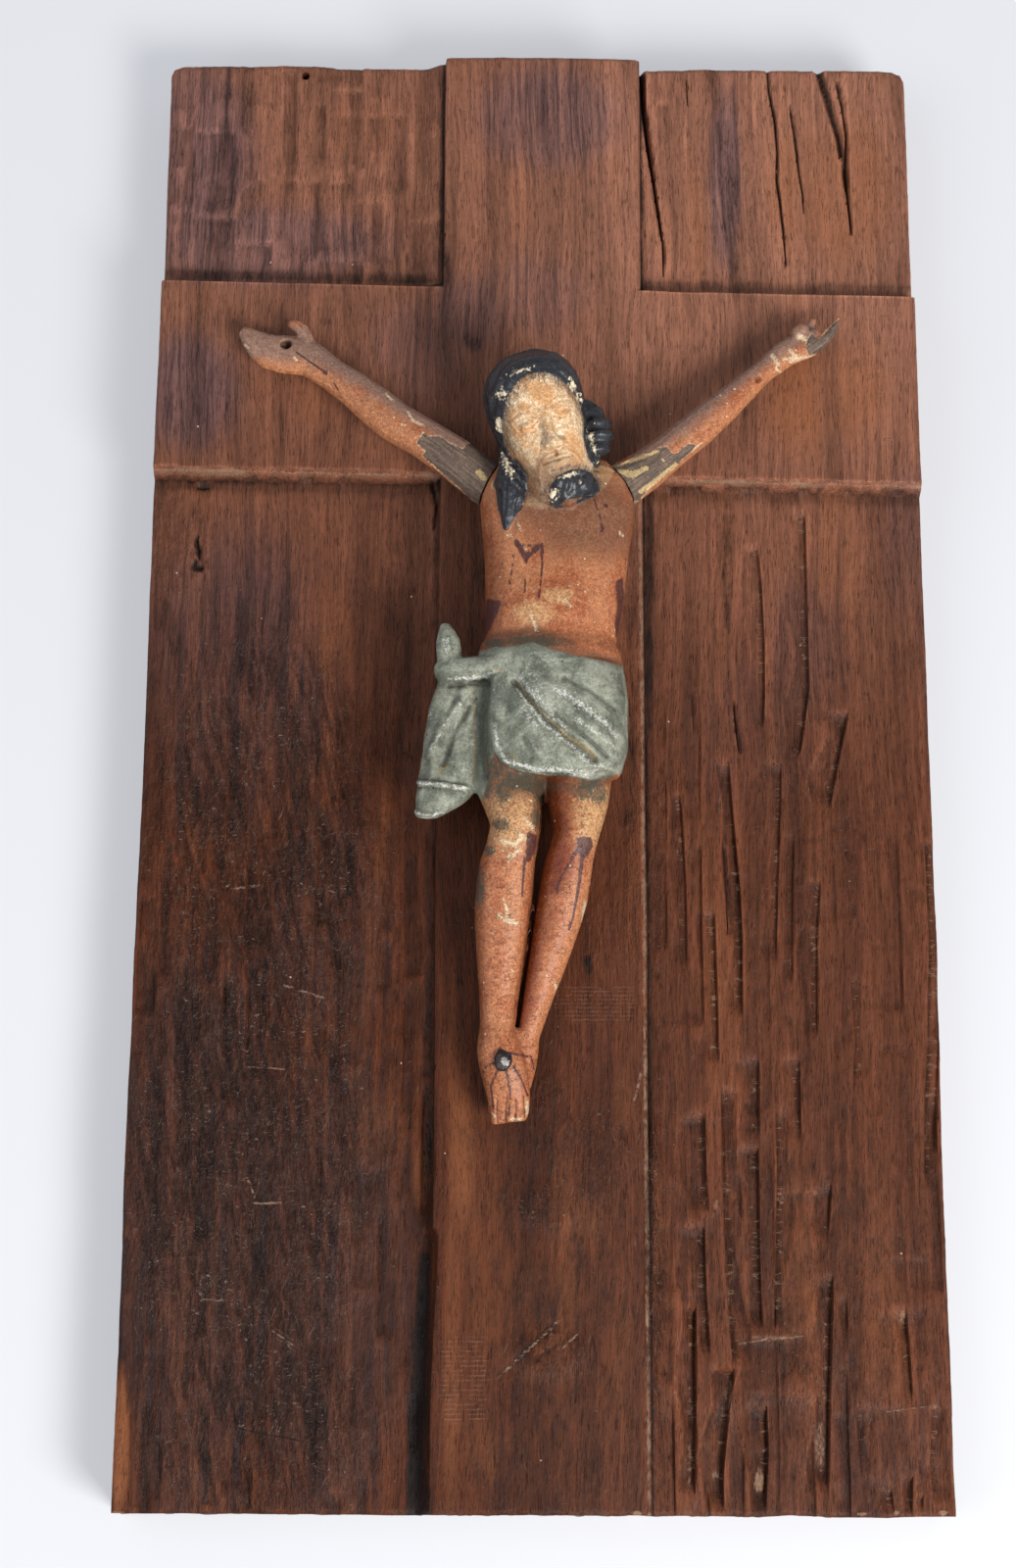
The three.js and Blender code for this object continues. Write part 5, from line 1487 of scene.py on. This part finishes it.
# Places where the paint has come off in flakes.
FLAKES: list[Path] = [
    [(511, 858, 4), (526, 862, 5), (534, 852, 3)], [(514, 868, 3), (520, 876, 3.5), (530, 868, 3)],
    [(509, 934, 4), (520, 940, 5), (530, 943, 3.5)], [(514, 916, 2), (518, 930, 4)],
    [(522.5, 990, 2.2), (524.5, 991, 2)], [(538, 1124, 2.5), (538.5, 1136, 4)],
    [(520, 1142, 2.5), (532, 1142, 2.5)], [(502, 1136, 1.8), (506, 1140, 1.8)],
    [(529, 535, 2.2), (532, 541, 2.4)], [(518, 546, 2.2), (522, 547, 2.2)],
    [(535, 557, 2.0), (537, 560, 2.0)], [(510.5, 587, 2.0), (511, 589, 2.0)],
    [(541, 626, 2.4), (547, 640, 3.0), (549, 648, 2.0)], [(576, 611, 2.6), (583, 620, 2.2)],
    [(632, 542, 1.4), (636, 547, 1.6)], [(594, 940, 1.8), (597, 920, 2.4)],
    [(565, 1000, 2.0), (568, 1008, 2.2)], [(536, 835, 3), (545, 848, 3)], [(527, 848, 3.5), (540, 858, 3)],
    [(394, 402, 2), (400, 408, 2)], [(410, 433, 1.8), (414, 434, 1.8)], [(788, 363, 3.5), (794, 372, 4.0)],
    [(800, 366, 3), (812, 366, 3), (840, 362, 2)], [(815, 343, 4), (822, 346, 5)],
    [(703, 462, 2), (716, 452, 1.6)], [(660, 500, 2.5), (674, 488, 2.0)], [(300, 364, 2), (303, 368, 2)],
    [(250, 352, 2), (254, 355, 2)], [(416, 420, 2), (422, 430, 2.4), (432, 434, 2)],
    [(806, 358, 3.5), (815, 366, 4), (806, 370, 2)], [(792, 376, 3), (800, 382, 2)],
]

# Outlines of bare wood at the arms' ends.
BARE: list[Path] = [
    [(425, 452), (432.2, 440.8), (436.3, 444.9), (448.6, 444.9), (458.8, 452), (473, 458), (477, 452),
      (492, 452), (520, 470), (515, 492), (495, 522), (470, 500), (436, 470), (430.6, 465.5), (434.5, 461)],
    [(614, 480), (620, 472), (634.4, 472.9), (651, 464.6), (664, 462.7), (672.3, 456.8), (681, 455.7),
      (686.2, 463.1), (691.7, 462.7), (697.3, 456.3), (702.8, 453.1), (709.8, 453.9), (707.6, 459.4),
      (698.2, 467.4), (686.2, 479.4), (671.4, 491.4), (662, 498), (653, 511), (643.6, 512), (630.7, 494.2),
      (619.6, 481.2)],
    [(822, 352), (828, 340), (836, 346), (850, 330), (868, 318), (866, 340), (850, 360), (826, 362)],
]

# Remains of gesso on the bare wood.
GESSO: list[Path] = [
    [(632, 480, 2.4), (646, 484, 3.4), (660, 477, 2.6)],
    [(622, 476, 1.4), (650, 468, 1.8), (672, 460, 1.4)],
    [(655, 502, 2.4), (668, 492, 2.0), (690, 474, 1.8)], [(676, 468, 1), (678, 470, 1)],
    [(684, 484, 1.4), (690, 478, 1.4)], [(489, 482, 3.4), (494, 488, 3.0)],
]

# White rubs on the cloth, with their strength.
RUBS: Strokes = [
    ([(566, 702, 5), (589, 716, 6), (614, 734, 5), (630, 752, 4)], 1.0),
    ([(584, 732, 4), (612, 749, 4), (629, 765, 3)], 0.7),
    ([(528, 704, 3), (553, 736, 4), (578, 757, 5), (605, 781, 5)], 0.9),
    ([(536, 722, 9), (546, 742, 9)], 0.6),
    ([(505, 738, 3), (507, 760, 3), (516, 776, 4), (548, 785, 5), (578, 786, 5), (602, 790, 6),
      (615, 781, 4)], 1.0), ([(459, 692, 3), (478, 692, 3), (496, 690, 4), (509, 684, 3)], 1.0),
    ([(545, 665, 8), (565, 672, 8)], 0.5), ([(440, 764, 3), (456, 736, 3), (474, 713, 3)], 0.7),
    ([(426, 799, 3), (452, 801, 3), (475, 805, 4)], 1.0),
    ([(423, 829, 3), (436, 834, 4), (452, 829, 3)], 1.0), ([(484, 745, 2), (482, 790, 2)], 0.5),
    ([(455, 654, 5), (458, 664, 4)], 0.9), ([(588, 680, 3), (612, 686, 3)], 0.5),
    ([(505, 700, 2), (504, 730, 2)], 0.6), ([(535, 690, 14), (570, 745, 16)], 0.60),
    ([(440, 722, 3), (438, 732, 3)], 0.9),
]

# Remains of gilding in the cloth's folds and hems.
GOLD: list[Path] = [
    [(528, 697, 1.6), (553, 727, 2.0), (580, 752, 3.6), (600, 764, 4.6), (607, 774, 3.6)],
    [(505, 686, 2.4), (510, 683, 2.2)], [(496, 765, 1.8), (496, 785, 2.0)],
    [(435, 728, 3), (438, 735, 2.4)], [(484, 700, 1.6), (484, 760, 1.6), (484, 800, 2)],
    [(522, 770, 3.0), (528, 776, 2.6)], [(446, 790, 3), (458, 778, 3)], [(546, 651, 2), (555, 655, 2)],
]

# Folds of the cloth: x, y and half width in pixels, and the rise in millimetres.
FOLDS: Strokes = [
    ([(524, 696, 5), (540, 713, 5), (560, 735, 6), (582, 754, 7), (606, 776, 7)], -1.6),
    ([(540, 700, 8), (560, 712, 10), (590, 732, 11), (620, 756, 9)], 1.1),
    ([(516, 700, 7), (536, 734, 9), (562, 758, 10), (592, 784, 9)], 0.9),
    ([(566, 728, 5), (592, 746, 6), (620, 772, 5)], -0.8),
    ([(576, 692, 5), (600, 704, 6), (628, 724, 5)], -0.7),
    ([(590, 682, 6), (612, 694, 7), (634, 712, 6)], 0.6), ([(534, 752, 5), (543, 772, 6)], -0.7),
    ([(506, 690, 5), (503, 716, 5), (502, 742, 5), (506, 762, 5), (518, 778, 6)], 0.9),
    ([(496, 700, 5), (492, 730, 6), (493, 765, 6), (497, 790, 6)], -1.2),
    ([(512, 784, 4), (548, 790, 4), (578, 790, 4), (604, 794, 4), (622, 786, 4)], 0.7),
    ([(438, 770, 5), (452, 742, 6), (470, 716, 5)], 0.9),
    ([(452, 780, 4), (462, 752, 5), (480, 722, 4)], -0.8),
    ([(464, 790, 4), (472, 758, 5), (484, 720, 4)], 0.7),
    ([(424, 803, 3), (450, 806, 3.5), (474, 810, 3)], -0.7),
    ([(425, 798, 3), (452, 800, 3), (478, 804, 3)], 0.7),
    ([(458, 700, 3), (480, 698, 4), (498, 696, 4)], -0.8),
    ([(424, 828, 3), (438, 833, 4), (456, 826, 3)], 0.5),
]

# Clefts between the legs and the toes: x, y and half width in pixels, and the depth in millimetres.
CLEFTS: Strokes = [
    ([(552, 810, 4.4), (552, 850, 4.6), (546, 910, 4.4), (539, 965, 4.0), (533, 1010, 3.4),
      (528, 1046, 2.6)], 9.0), ([(517, 1120, 1.0), (516, 1136, 1.8), (516, 1150, 2.0)], 1.8),
    ([(527, 1122, 0.8), (526, 1138, 1.6), (526, 1150, 1.8)], 1.6),
    ([(534, 1118, 0.8), (535, 1134, 1.4), (536, 1148, 1.4)], 1.3),
    ([(507, 1122, 0.8), (507, 1136, 1.4), (508, 1148, 1.6)], 1.3),
]

# Strokes of the face in the head's frame, each cut on both sides: x, y and half width, and the rise in mm.
FACE: Strokes = [
    ([(7.0, 54.6, 3.4), (12.5, 55.0, 5.2), (18.5, 54.2, 3.2)], 1.25),
    ([(5.4, 54.4, 0.9), (9.5, 52.2, 1.1), (13.5, 51.7, 1.1), (17.5, 53.0, 1.0), (20.4, 54.6, 0.7)], -0.75),
    ([(6.2, 57.4, 0.9), (12.5, 60.2, 1.0), (19.2, 57.4, 0.8)], -0.45),
    ([(7, 49.6, 1.0), (12, 48.2, 1.4), (18, 50.0, 1.0)], -0.3),
    ([(4, 62.2, 1.7), (12, 65.2, 2.1), (20.5, 62.4, 1.5)], 0.5),
    ([(0, 61, 2.0), (0, 50, 2.3), (0, 42, 3.0)], 0.45), ([(0, 38.8, 3.6), (0, 39.2, 3.6)], 0.7),
    ([(5.2, 38.0, 2.4), (5.4, 38.4, 2.4)], 0.85),
    ([(8.6, 36.4, 1.0), (8.2, 39.8, 1.1), (6.0, 42.2, 0.9)], -0.5),
    ([(2.3, 35.9, 1.2), (3.7, 35.7, 1.1)], -0.9), ([(9.4, 37, 1.3), (12.8, 31.5, 1.3)], -0.35),
    ([(18.5, 44, 6.5), (19, 44.5, 6.5)], 0.45), ([(0, 34.2, 1.0), (0, 31, 1.3)], -0.4),
    ([(0, 29.7, 1.2), (3, 30.2, 1.3), (9, 28.3, 0.8)], 0.6),
    ([(0, 27.9, 0.8), (4, 28.4, 0.9), (9.8, 27.7, 0.7)], -0.95), ([(0, 25.8, 1.9), (6.5, 26.3, 1.3)], 0.8),
    ([(0, 22.5, 1.4), (6, 22.9, 1.3)], -0.55),
    ([(1.8, 32.6, 1.3), (6.5, 32.2, 1.9), (11.5, 28.6, 2.0), (14.2, 22, 1.7), (14.0, 16, 1.2)], 0.75),
]

# Places where the hair's paint is lost: x, y and radii in the head's frame, and strength.
BALD: Ovals = [
    (-27.0, 60.0, 4.0, 8.0, 0.6), (-30.0, 34.0, 4.0, 14.0, 0.55), (-21.0, 78.0, 8.0, 5.0, 0.45),
    (-6.0, 88.0, 14.0, 3.0, 0.4), (26.0, 62.0, 4.0, 9.0, 0.5), (24.0, 70.0, 4.0, 8.0, 0.6),
    (30.0, 52.0, 3.0, 14.0, 0.6), (-9.0, 8.0, 5.0, 6.0, 0.55), (4.0, 17.0, 12.0, 3.0, 0.5),
    (26.5, 30.0, 3.0, 16.0, 0.5), (10.0, 10.0, 3.0, 3.0, 0.3),
]


# The ringlet and the lock: x, y, z and half width in millimetres.
RINGLET: Path = [
    (18.9, 144.7, 78.9, 4.6), (25.2, 137.0, 81.7, 6.3), (26.6, 127.9, 83.5, 6.7), (24.5, 119.9, 83.8, 4.0),
]
LOCK: Path = [
    (-13.3, 121.6, 82.4, 5.3), (-11.9, 107.6, 84.9, 7.0), (-13.0, 95.7, 86.3, 4.9), (-15.1, 84.9, 86.3, 1.5),
]
# The cloth's outline in pixels.
CLOTH_OUTLINE: Path = [
    (492, 664), (505, 660), (525, 660), (543, 655), (562, 662), (580, 667), (602, 671), (628, 678),
    (645, 680), (645, 782), (634, 790), (615, 795), (604, 796), (578, 792), (556, 791), (530, 787),
    (512, 778), (505, 768), (499, 780), (497, 800), (492, 816), (470, 822), (450, 842), (415, 842),
    (412, 800), (425, 740), (425, 715),
    (440, 640), (448, 628), (470, 630), (480, 665),
]
HEAD_CENTRE = (1.75, 131.775, 87.3)
HEAD_UNIT = 0.7105
HEAD_TURN = Matrix.Rotation(math.radians(19.0), 3, "Z") @ Matrix.Rotation(math.radians(20.0), 3, "X")
HEAD_OUT = np.array(HEAD_TURN @ Vector((0.0, 0.0, 1.0)))


def to_head(spots: np.ndarray) -> np.ndarray:
    """Places in the head's own frame: chin at Y 0, crown at 100, the face to +Z."""
    matrix = HEAD_TURN @ Matrix.Rotation(math.radians(-3.0), 3, "Y")
    return (spots - HEAD_CENTRE) @ np.array(matrix) / HEAD_UNIT + np.array([0.0, 50.0, 0.0])


def lit_edge_highlight(seen: np.ndarray) -> np.ndarray:
    """1 on the limbs' lit, worn edges, where a painted highlight goes."""
    return np.max([eased(along(seen, path), -0.9, 0.6) for path in LIT_EDGES], axis=0)


def painted_marks(piece: bpy.types.Object, spots: np.ndarray, seen: np.ndarray, bare: bool) -> None:
    """Keeps the masks that body and arms have in common.

    Args:
        piece: the piece marked.
        spots: its vertices in millimetres.
        seen: where they appear in the photograph.
        bare: whether paint is lost down to the wood.
    """
    blood = np.maximum(-1.0, 0.8 * np.max([along(seen, path) for path in BLOOD], axis=0))
    for corners in BLOOD_PATCHES:
        blood = np.maximum(blood, np.minimum(within(seen, corners) / 4.0, (spots[:, 2] - 68.0) / 5.0))
    moss = 1.1 * np.max([blob(seen, *row) for row in MOSS], axis=0)
    fold = sum(rise * eased(along(seen, path), 0.0, 1.0) for path, rise in FOLDS)
    smooth = relaxed(spots, links_of(piece), 10, swell=0.0)
    store(
        piece, blood=blood, smoke=stroked(seen, SMOKE_AND_SHADE, -1.0, 0.9), dust=float(bare),
        shade=stroked(seen, SHADES, -0.7, 0.9), moss=np.minimum(moss, (spots[:, 2] - 62.0) / 8.0),
        ochre=1.2 * np.max([blob(seen, *row) for row in OCHRE], axis=0),
        flake=0.9 * np.max([along(seen, path) for path in FLAKES], axis=0) - 0.38,
        gesso=0.8 * np.max([along(seen, path) for path in GESSO], axis=0),
        bare=np.max([within(seen, corners) for corners in BARE], axis=0) / 6.0 if bare else -1.0,
        rub=stroked(seen, RUBS, -0.3, 0.9), gold=np.max([along(seen, path) for path in GOLD], axis=0),
        crest=((spots - smooth) * outward(piece)).sum(axis=1) / 0.35, fold=fold,
    )


@dataclass
class CorpusBody:
    """Head, trunk, cloth, legs and feet, carved from one block and painted."""

    voxel: float = 1.15
    most: int = 196000
    grit: Grit = field(default_factory=lambda: Grit(29))

    def build(self, material: bpy.types.Material) -> bpy.types.Object:
        """Models and dresses the body."""
        piece = self.carved()
        self.sculpted(piece)
        share = self.most / (2.0 * len(piece.data.polygons))
        if share < 1.0:
            applied(piece, "DECIMATE", ratio=share)
        self.marked(piece)
        finished(piece, material, Slot.PAINT, "corpus_body")
        return piece

    def carved(self) -> bpy.types.Object:
        """Rounds the CAD solid's facets into carved forms."""
        piece = remeshed("corpus_body", "carved_corpus", self.voxel)
        spots = spots_of(piece)
        in_head = eased(to_head(spots)[:, 1], -8.0, 6.0) * eased(spots[:, 2], 60.0, 66.0)
        loose = 1.0 - 0.55 * in_head - 0.45 * eased(self.cloth_edge(spots), -0.2, 0.6)
        loose *= 1.0 - 0.8 * (1.0 - eased(spots[:, 2], 46.5, 50.0))
        set_spots(piece, relaxed(spots, links_of(piece), 34, loose))
        applied(piece, "SUBSURF", levels=1, render_levels=1)
        return piece

    @staticmethod
    def cloth_edge(spots: np.ndarray) -> np.ndarray:
        """Where the cloth is: above 0 on it, in steps of 3 mm."""
        return np.clip(within(SIGHT.seen(spots), CLOTH_OUTLINE) / 7.0, -1.0, 1.0)

    def sculpted(self, piece: bpy.types.Object) -> None:
        """Cuts folds, hair and features into the rounded form."""
        spots = spots_of(piece)
        normal = outward(piece)
        seen = SIGHT.seen(spots)
        front = eased(normal[:, 2], -0.1, 0.35)
        lift = sum(1.5 * rise * eased(along(seen, path), -0.25, 1.0) * front for path, rise in FOLDS)
        lift *= eased(self.cloth_edge(spots), -0.15, 0.25)
        lift += 0.16 * self.grit.layered(spots, (7.0, 9.0, 7.0), 3)
        head = to_head(spots)
        lift += self.combed(spots, head, self.hair_edge(spots))
        facing = eased(normal @ HEAD_OUT, -0.05, 0.35) * eased(head[:, 2], 8.0, 18.0) * self.head_share(head)
        push = np.zeros(len(spots))
        for path, rise in FACE:
            middle = path[0][0] == 0.0 and path[-1][0] == 0.0
            for side in (-1, 1):
                turned = [(side * x, y, half) for x, y, half in path]
                push += (0.5 if middle else 1.0) * rise * eased(along(head[:, :2], turned), 0.0, 1.0)
        spots += normal * lift[:, None] + np.outer(push * facing, HEAD_OUT)
        for path, drop in CLEFTS:
            spots[:, 2] -= drop * eased(along(seen, path), 0.0, 0.85) * eased(normal[:, 2], -0.2, 0.3)
        set_spots(piece, spots)

    @staticmethod
    def head_share(head: np.ndarray) -> np.ndarray:
        """1 on the head, 0 below it."""
        away = np.linalg.norm((head - [0.0, 49.0, 0.0]) / [48.0, 56.0, 60.0], axis=1)
        return eased(1.0 - away, -0.04, 0.06)

    def hair_edge(self, spots: np.ndarray) -> np.ndarray:
        """Where hair and beard are: above 0 on them."""
        head = to_head(spots)
        x, y, z = head.T
        face = np.where(y < 45.0, blob(head, 0.0, 45.0, 26.5, 44.0), blob(head, 0.0, 47.0, 26.5, 37.0))
        beard = 2.5 * np.maximum(blob(head, 5.0, 6.0, 17.0, 13.5), blob(head, 24.5, 29.0, 4.0, 14.0))
        nape = np.minimum((y - 14.0) / 8.0, (spots[:, 1] - 114.0) / 4.0)
        hair = np.where(z < 0.0, nape, np.maximum(-4.0 * face, beard))
        hair = np.where((y < 22.0) & (z > -6.0), np.minimum(hair, beard), hair)
        jaw = np.minimum(np.minimum(38.0 - y, -x - 6.0), z + 10.0)
        hair = np.minimum(hair, np.maximum(-jaw / 4.0, beard))
        neck = np.minimum(np.minimum(24.0 - y, 7.0 - z), z + 22.0)
        hair = np.minimum(np.minimum(hair, 2.0 * self.head_share(head) - 1.0), -neck / 4.0)
        lock = along(spots, [(-12.5, 111.0, 84.2, 5.8), *LOCK[1:]])
        return np.maximum(hair, np.maximum(along(spots, RINGLET) + 0.25, lock + 0.3) * 3.0)

    def combed(self, spots: np.ndarray, head: np.ndarray, hair: np.ndarray) -> np.ndarray:
        """How far hair, ringlet, lock and beard stand out, with the grooves between their strands."""
        x, y, z = head.T
        wave = self.grit.at(head, (16.0, 16.0, 16.0))
        strand = np.cos(2 * np.pi * (np.hypot(x / 26.0, (y - 47.0) / 37.0) * 6.2 + 0.35 * wave))
        strand = np.where(z > 0.0, strand, np.cos(np.arctan2(x, -z) * 22.0 + 1.5 * wave))
        chin = eased(-y, -22.0, -16.0) * eased(z, 10.0, 20.0)
        angle = np.arctan2(x, 36.0 - y) + 0.10 * np.sin(y / 3.5)
        strand = strand * (1 - chin) + np.cos(angle * 26.0) * chin
        on_head = self.head_share(head)
        lift = eased(hair, -0.02, 0.25) * (0.75 + 0.42 * strand) * on_head
        coil = np.cos(spots[:, 1] * 2 * np.pi / 6.5 + np.arctan2(spots[:, 2] - 82.0, spots[:, 0] - 25.0))
        lift += eased(along(spots, RINGLET), -0.3, 0.1) * (0.9 * coil - 0.42 * strand * on_head)
        hanging = np.cos((spots[:, 0] + 13.0 - 0.1 * spots[:, 1]) * 2 * np.pi / 2.6)
        return lift + eased(along(spots, LOCK), -0.2, 0.2) * 0.28 * hanging

    def marked(self, piece: bpy.types.Object) -> None:
        """Keeps the masks of paint and wear on the mesh."""
        spots = spots_of(piece)
        seen = SIGHT.seen(spots)
        head = to_head(spots)
        bald = np.max([lift * blob(head, *oval) for *oval, lift in BALD], axis=0) - 0.3
        rosy = 0.25 * eased(-spots[:, 1], 60.0, 90.0) * eased(-spots[:, 0], -6.0, 4.0)
        store(
            piece, hair=self.hair_edge(spots), cloth=self.cloth_edge(spots),
            face=np.where(head[:, 2] > 0.0, 2.0 * self.head_share(head) - 0.6, -1.0),
            bald=np.where(head[:, 2] > 4.0, bald, -0.7), rosy=np.maximum(rosy, 0.9 * lit_edge_highlight(seen)),
            crackle=eased(-spots[:, 1], 20.0, 60.0) * 0.9 + 0.12,
        )
        painted_marks(piece, spots, seen, False)


@dataclass
class CarvedArm:
    """One arm, carved apart and butted to the shoulder."""

    node: str
    name: str
    voxel: float = 0.62
    palm: tuple[float, float] = (289.0, 353.0)
    reamed: float = 1.5
    wrist_pit: tuple[float, ...] = (775.0, 387.0, 4.2, 5.0, 20.0)
    grit: Grit = field(default_factory=lambda: Grit(53))

    def build(self, material: bpy.types.Material) -> bpy.types.Object:
        """Models and dresses the arm."""
        piece = remeshed(self.node, self.name, self.voxel)
        spots = relaxed(spots_of(piece), links_of(piece), 30)
        set_spots(piece, spots)
        normal = outward(piece)
        seen = SIGHT.seen(spots)
        step = np.max([within(seen, corners) for corners in BARE], axis=0)
        lift = -0.45 * eased(step, -0.3, 0.5) * eased(normal[:, 2], -0.5, 0.0)
        lift += 0.12 * self.grit.layered(spots, (5.0, 5.0, 5.0), 3)
        lift -= 2.6 * eased(blob(seen, *self.wrist_pit), 0.0, 0.5) * eased(normal[:, 2], 0.1, 0.5)
        spots += normal * lift[:, None]
        apart = seen - np.array(self.palm)
        away = np.hypot(apart[:, 0], apart[:, 1]) + 1e-6
        wider = self.reamed * np.clip(1.0 - away / 16.0, 0.0, 1.0) ** 0.8
        spots[:, :2] += (wider / away)[:, None] * apart * [1.0, -0.8]
        set_spots(piece, spots)
        store(piece, hair=-1.0, face=-1.0, bald=-1.0, cloth=-1.0, crackle=0.1,
              rosy=0.2 + 0.8 * lit_edge_highlight(seen))
        painted_marks(piece, spots, seen, True)
        finished(piece, material, Slot.PAINT, self.node)
        return piece


@dataclass
class FootNail:
    """The forged nail through both feet."""

    spot: tuple[float, float] = (-14.87, -155.57)
    seat: float = 73.25
    tip: float = 23.3
    shank: float = 1.7
    grit: Grit = field(default_factory=lambda: Grit(71))

    def build(self, groups: Groups) -> bpy.types.Object:
        """Models and dresses the nail."""
        piece = cylinder(self.spot, self.shank, self.tip, self.seat, 20)
        piece.name = "forged_nail"
        bpy.ops.object.transform_apply(location=True, rotation=True, scale=True)
        self.drawn(piece, 1, ((2.30, 0.0), (1.0, 1.0), (0.86, 0.9), (0.55, 0.5), (0.3, 0.1)))
        self.drawn(piece, -1, ((0.55, 0.0), (0.2, 0.0)))
        applied(piece, "SUBSURF", levels=2, render_levels=2)
        spots = spots_of(piece)
        lumps = self.grit.layered(spots, (2.2, 2.2, 1.4), 2)
        out = spots[:, :2] - np.array(self.spot)
        upper = eased(spots[:, 2], self.seat - 0.4, self.seat + 0.4)
        spots[:, :2] += out * (0.12 * lumps * upper)[:, None]
        spots[:, 1] += 0.20 * out[:, 1] * upper
        spots[:, 2] += 0.16 * lumps * upper
        set_spots(piece, spots)
        x, y = self.spot
        rub = blob(spots, x + 0.9, y - 0.6, 1.7, 2.0) * (spots[:, 2] > self.seat + 0.8) - 0.1
        rub += 0.5 * self.grit.layered(spots, (0.8, 0.8, 0.8), 2)
        store(piece, rub=np.where(spots[:, 2] > self.seat, rub, -1.0))
        finished(piece, ForgedIron().made(groups), Slot.IRON, "foot_nail")
        return piece

    def drawn(self, piece: bpy.types.Object, side: int, steps: tuple[tuple[float, float], ...]) -> None:
        """Draws the nail's head or tip out of its end face.

        Args:
            piece: the nail.
            side: 1 for the head, -1 for the tip.
            steps: scale and rise of each step.
        """
        with editing(piece):
            bpy.ops.mesh.select_mode(type="FACE")
        far = max(face.center[2] * side for face in piece.data.polygons)
        for face in piece.data.polygons:
            face.select = face.normal[2] * side > 0.9 and face.center[2] * side > far - 1e-5
        middle = (self.spot[0] * MM, self.spot[1] * MM, 0.0)
        with editing(piece):
            for scale, rise in steps:
                step = (0.0, 0.0, side * rise * MM)
                bpy.ops.mesh.extrude_region_move(TRANSFORM_OT_translate={"value": step})
                bpy.ops.transform.resize(value=(scale, scale, 1.0), center_override=middle)


@dataclass
class Studio:
    """Camera, soft light and plain floor."""

    lens: float = 64.36
    sensor: float = 36.0
    sky: tuple[float, ...] = (0.90, 0.93, 1.0, 1.0)
    sky_strength: float = 0.44

    def camera(self) -> None:
        """Sets the camera at the photograph's viewpoint."""
        data = bpy.data.cameras.new("photo_camera")
        data.sensor_fit = "VERTICAL"
        data.sensor_height = self.sensor
        data.sensor_width = self.sensor
        data.lens = self.lens
        data.clip_end = 20.0
        view = bpy.data.objects.new("photo_camera", data)
        view.matrix_world = Matrix.Translation(Vector(SIGHT.place) * MM) @ SIGHT.turned().to_4x4()
        bpy.context.scene.collection.objects.link(view)
        bpy.context.scene.camera = view

    def lamp(self, name: str, place: tuple, aim: tuple, size: float, power: float, tint: Colour) -> None:
        """Adds one square soft light, its places and size in metres and its power in watts."""
        data = bpy.data.lights.new(name, "AREA")
        data.size = size
        data.energy = power
        data.color = tint
        light = bpy.data.objects.new(name, data)
        light.location = place
        light.rotation_euler = (Vector(aim) - Vector(place)).to_track_quat("-Z", "Y").to_euler()
        bpy.context.scene.collection.objects.link(light)

    def build(self) -> None:
        """Makes the studio."""
        self.camera()
        self.lamp("key", (1.0, -1.20, 1.45), (0.0, 0.05, 0.03), 0.8, 54.0, (1.0, 0.985, 0.965))
        self.lamp("fill", (-1.5, -0.5, 1.9), (0.0, 0.0, 0.0), 1.8, 17.0, (0.93, 0.96, 1.0))
        world = bpy.data.worlds.new("studio")
        world.use_nodes = True
        light = world.node_tree.nodes["Background"].inputs
        light[0].default_value, light[1].default_value = self.sky, self.sky_strength
        bpy.context.scene.world = world
        bpy.context.scene.view_settings.view_transform = "Standard"
        bpy.ops.object.select_all(action="DESELECT")
        bpy.ops.mesh.primitive_plane_add(size=8.0, location=(0.0, 0.0, 0.0))
        floor = bpy.context.object
        floor.name = "studio_floor"
        floor.data.materials.append(Backdrop().made())


def main() -> None:
    """Builds the part's looks round the frame."""
    logging.basicConfig(level=logging.INFO, format="%(name)s %(message)s")
    Studio().build()
    groups = Groups()
    CrossPanel().build(groups)
    paint = PaintedCarving().made(groups)
    CorpusBody().build(paint)
    CarvedArm("right_arm", "carved_right_arm").build(paint)
    CarvedArm("left_arm", "carved_left_arm").build(paint)
    FootNail().build(groups)


if __name__ == "__main__":
    main()
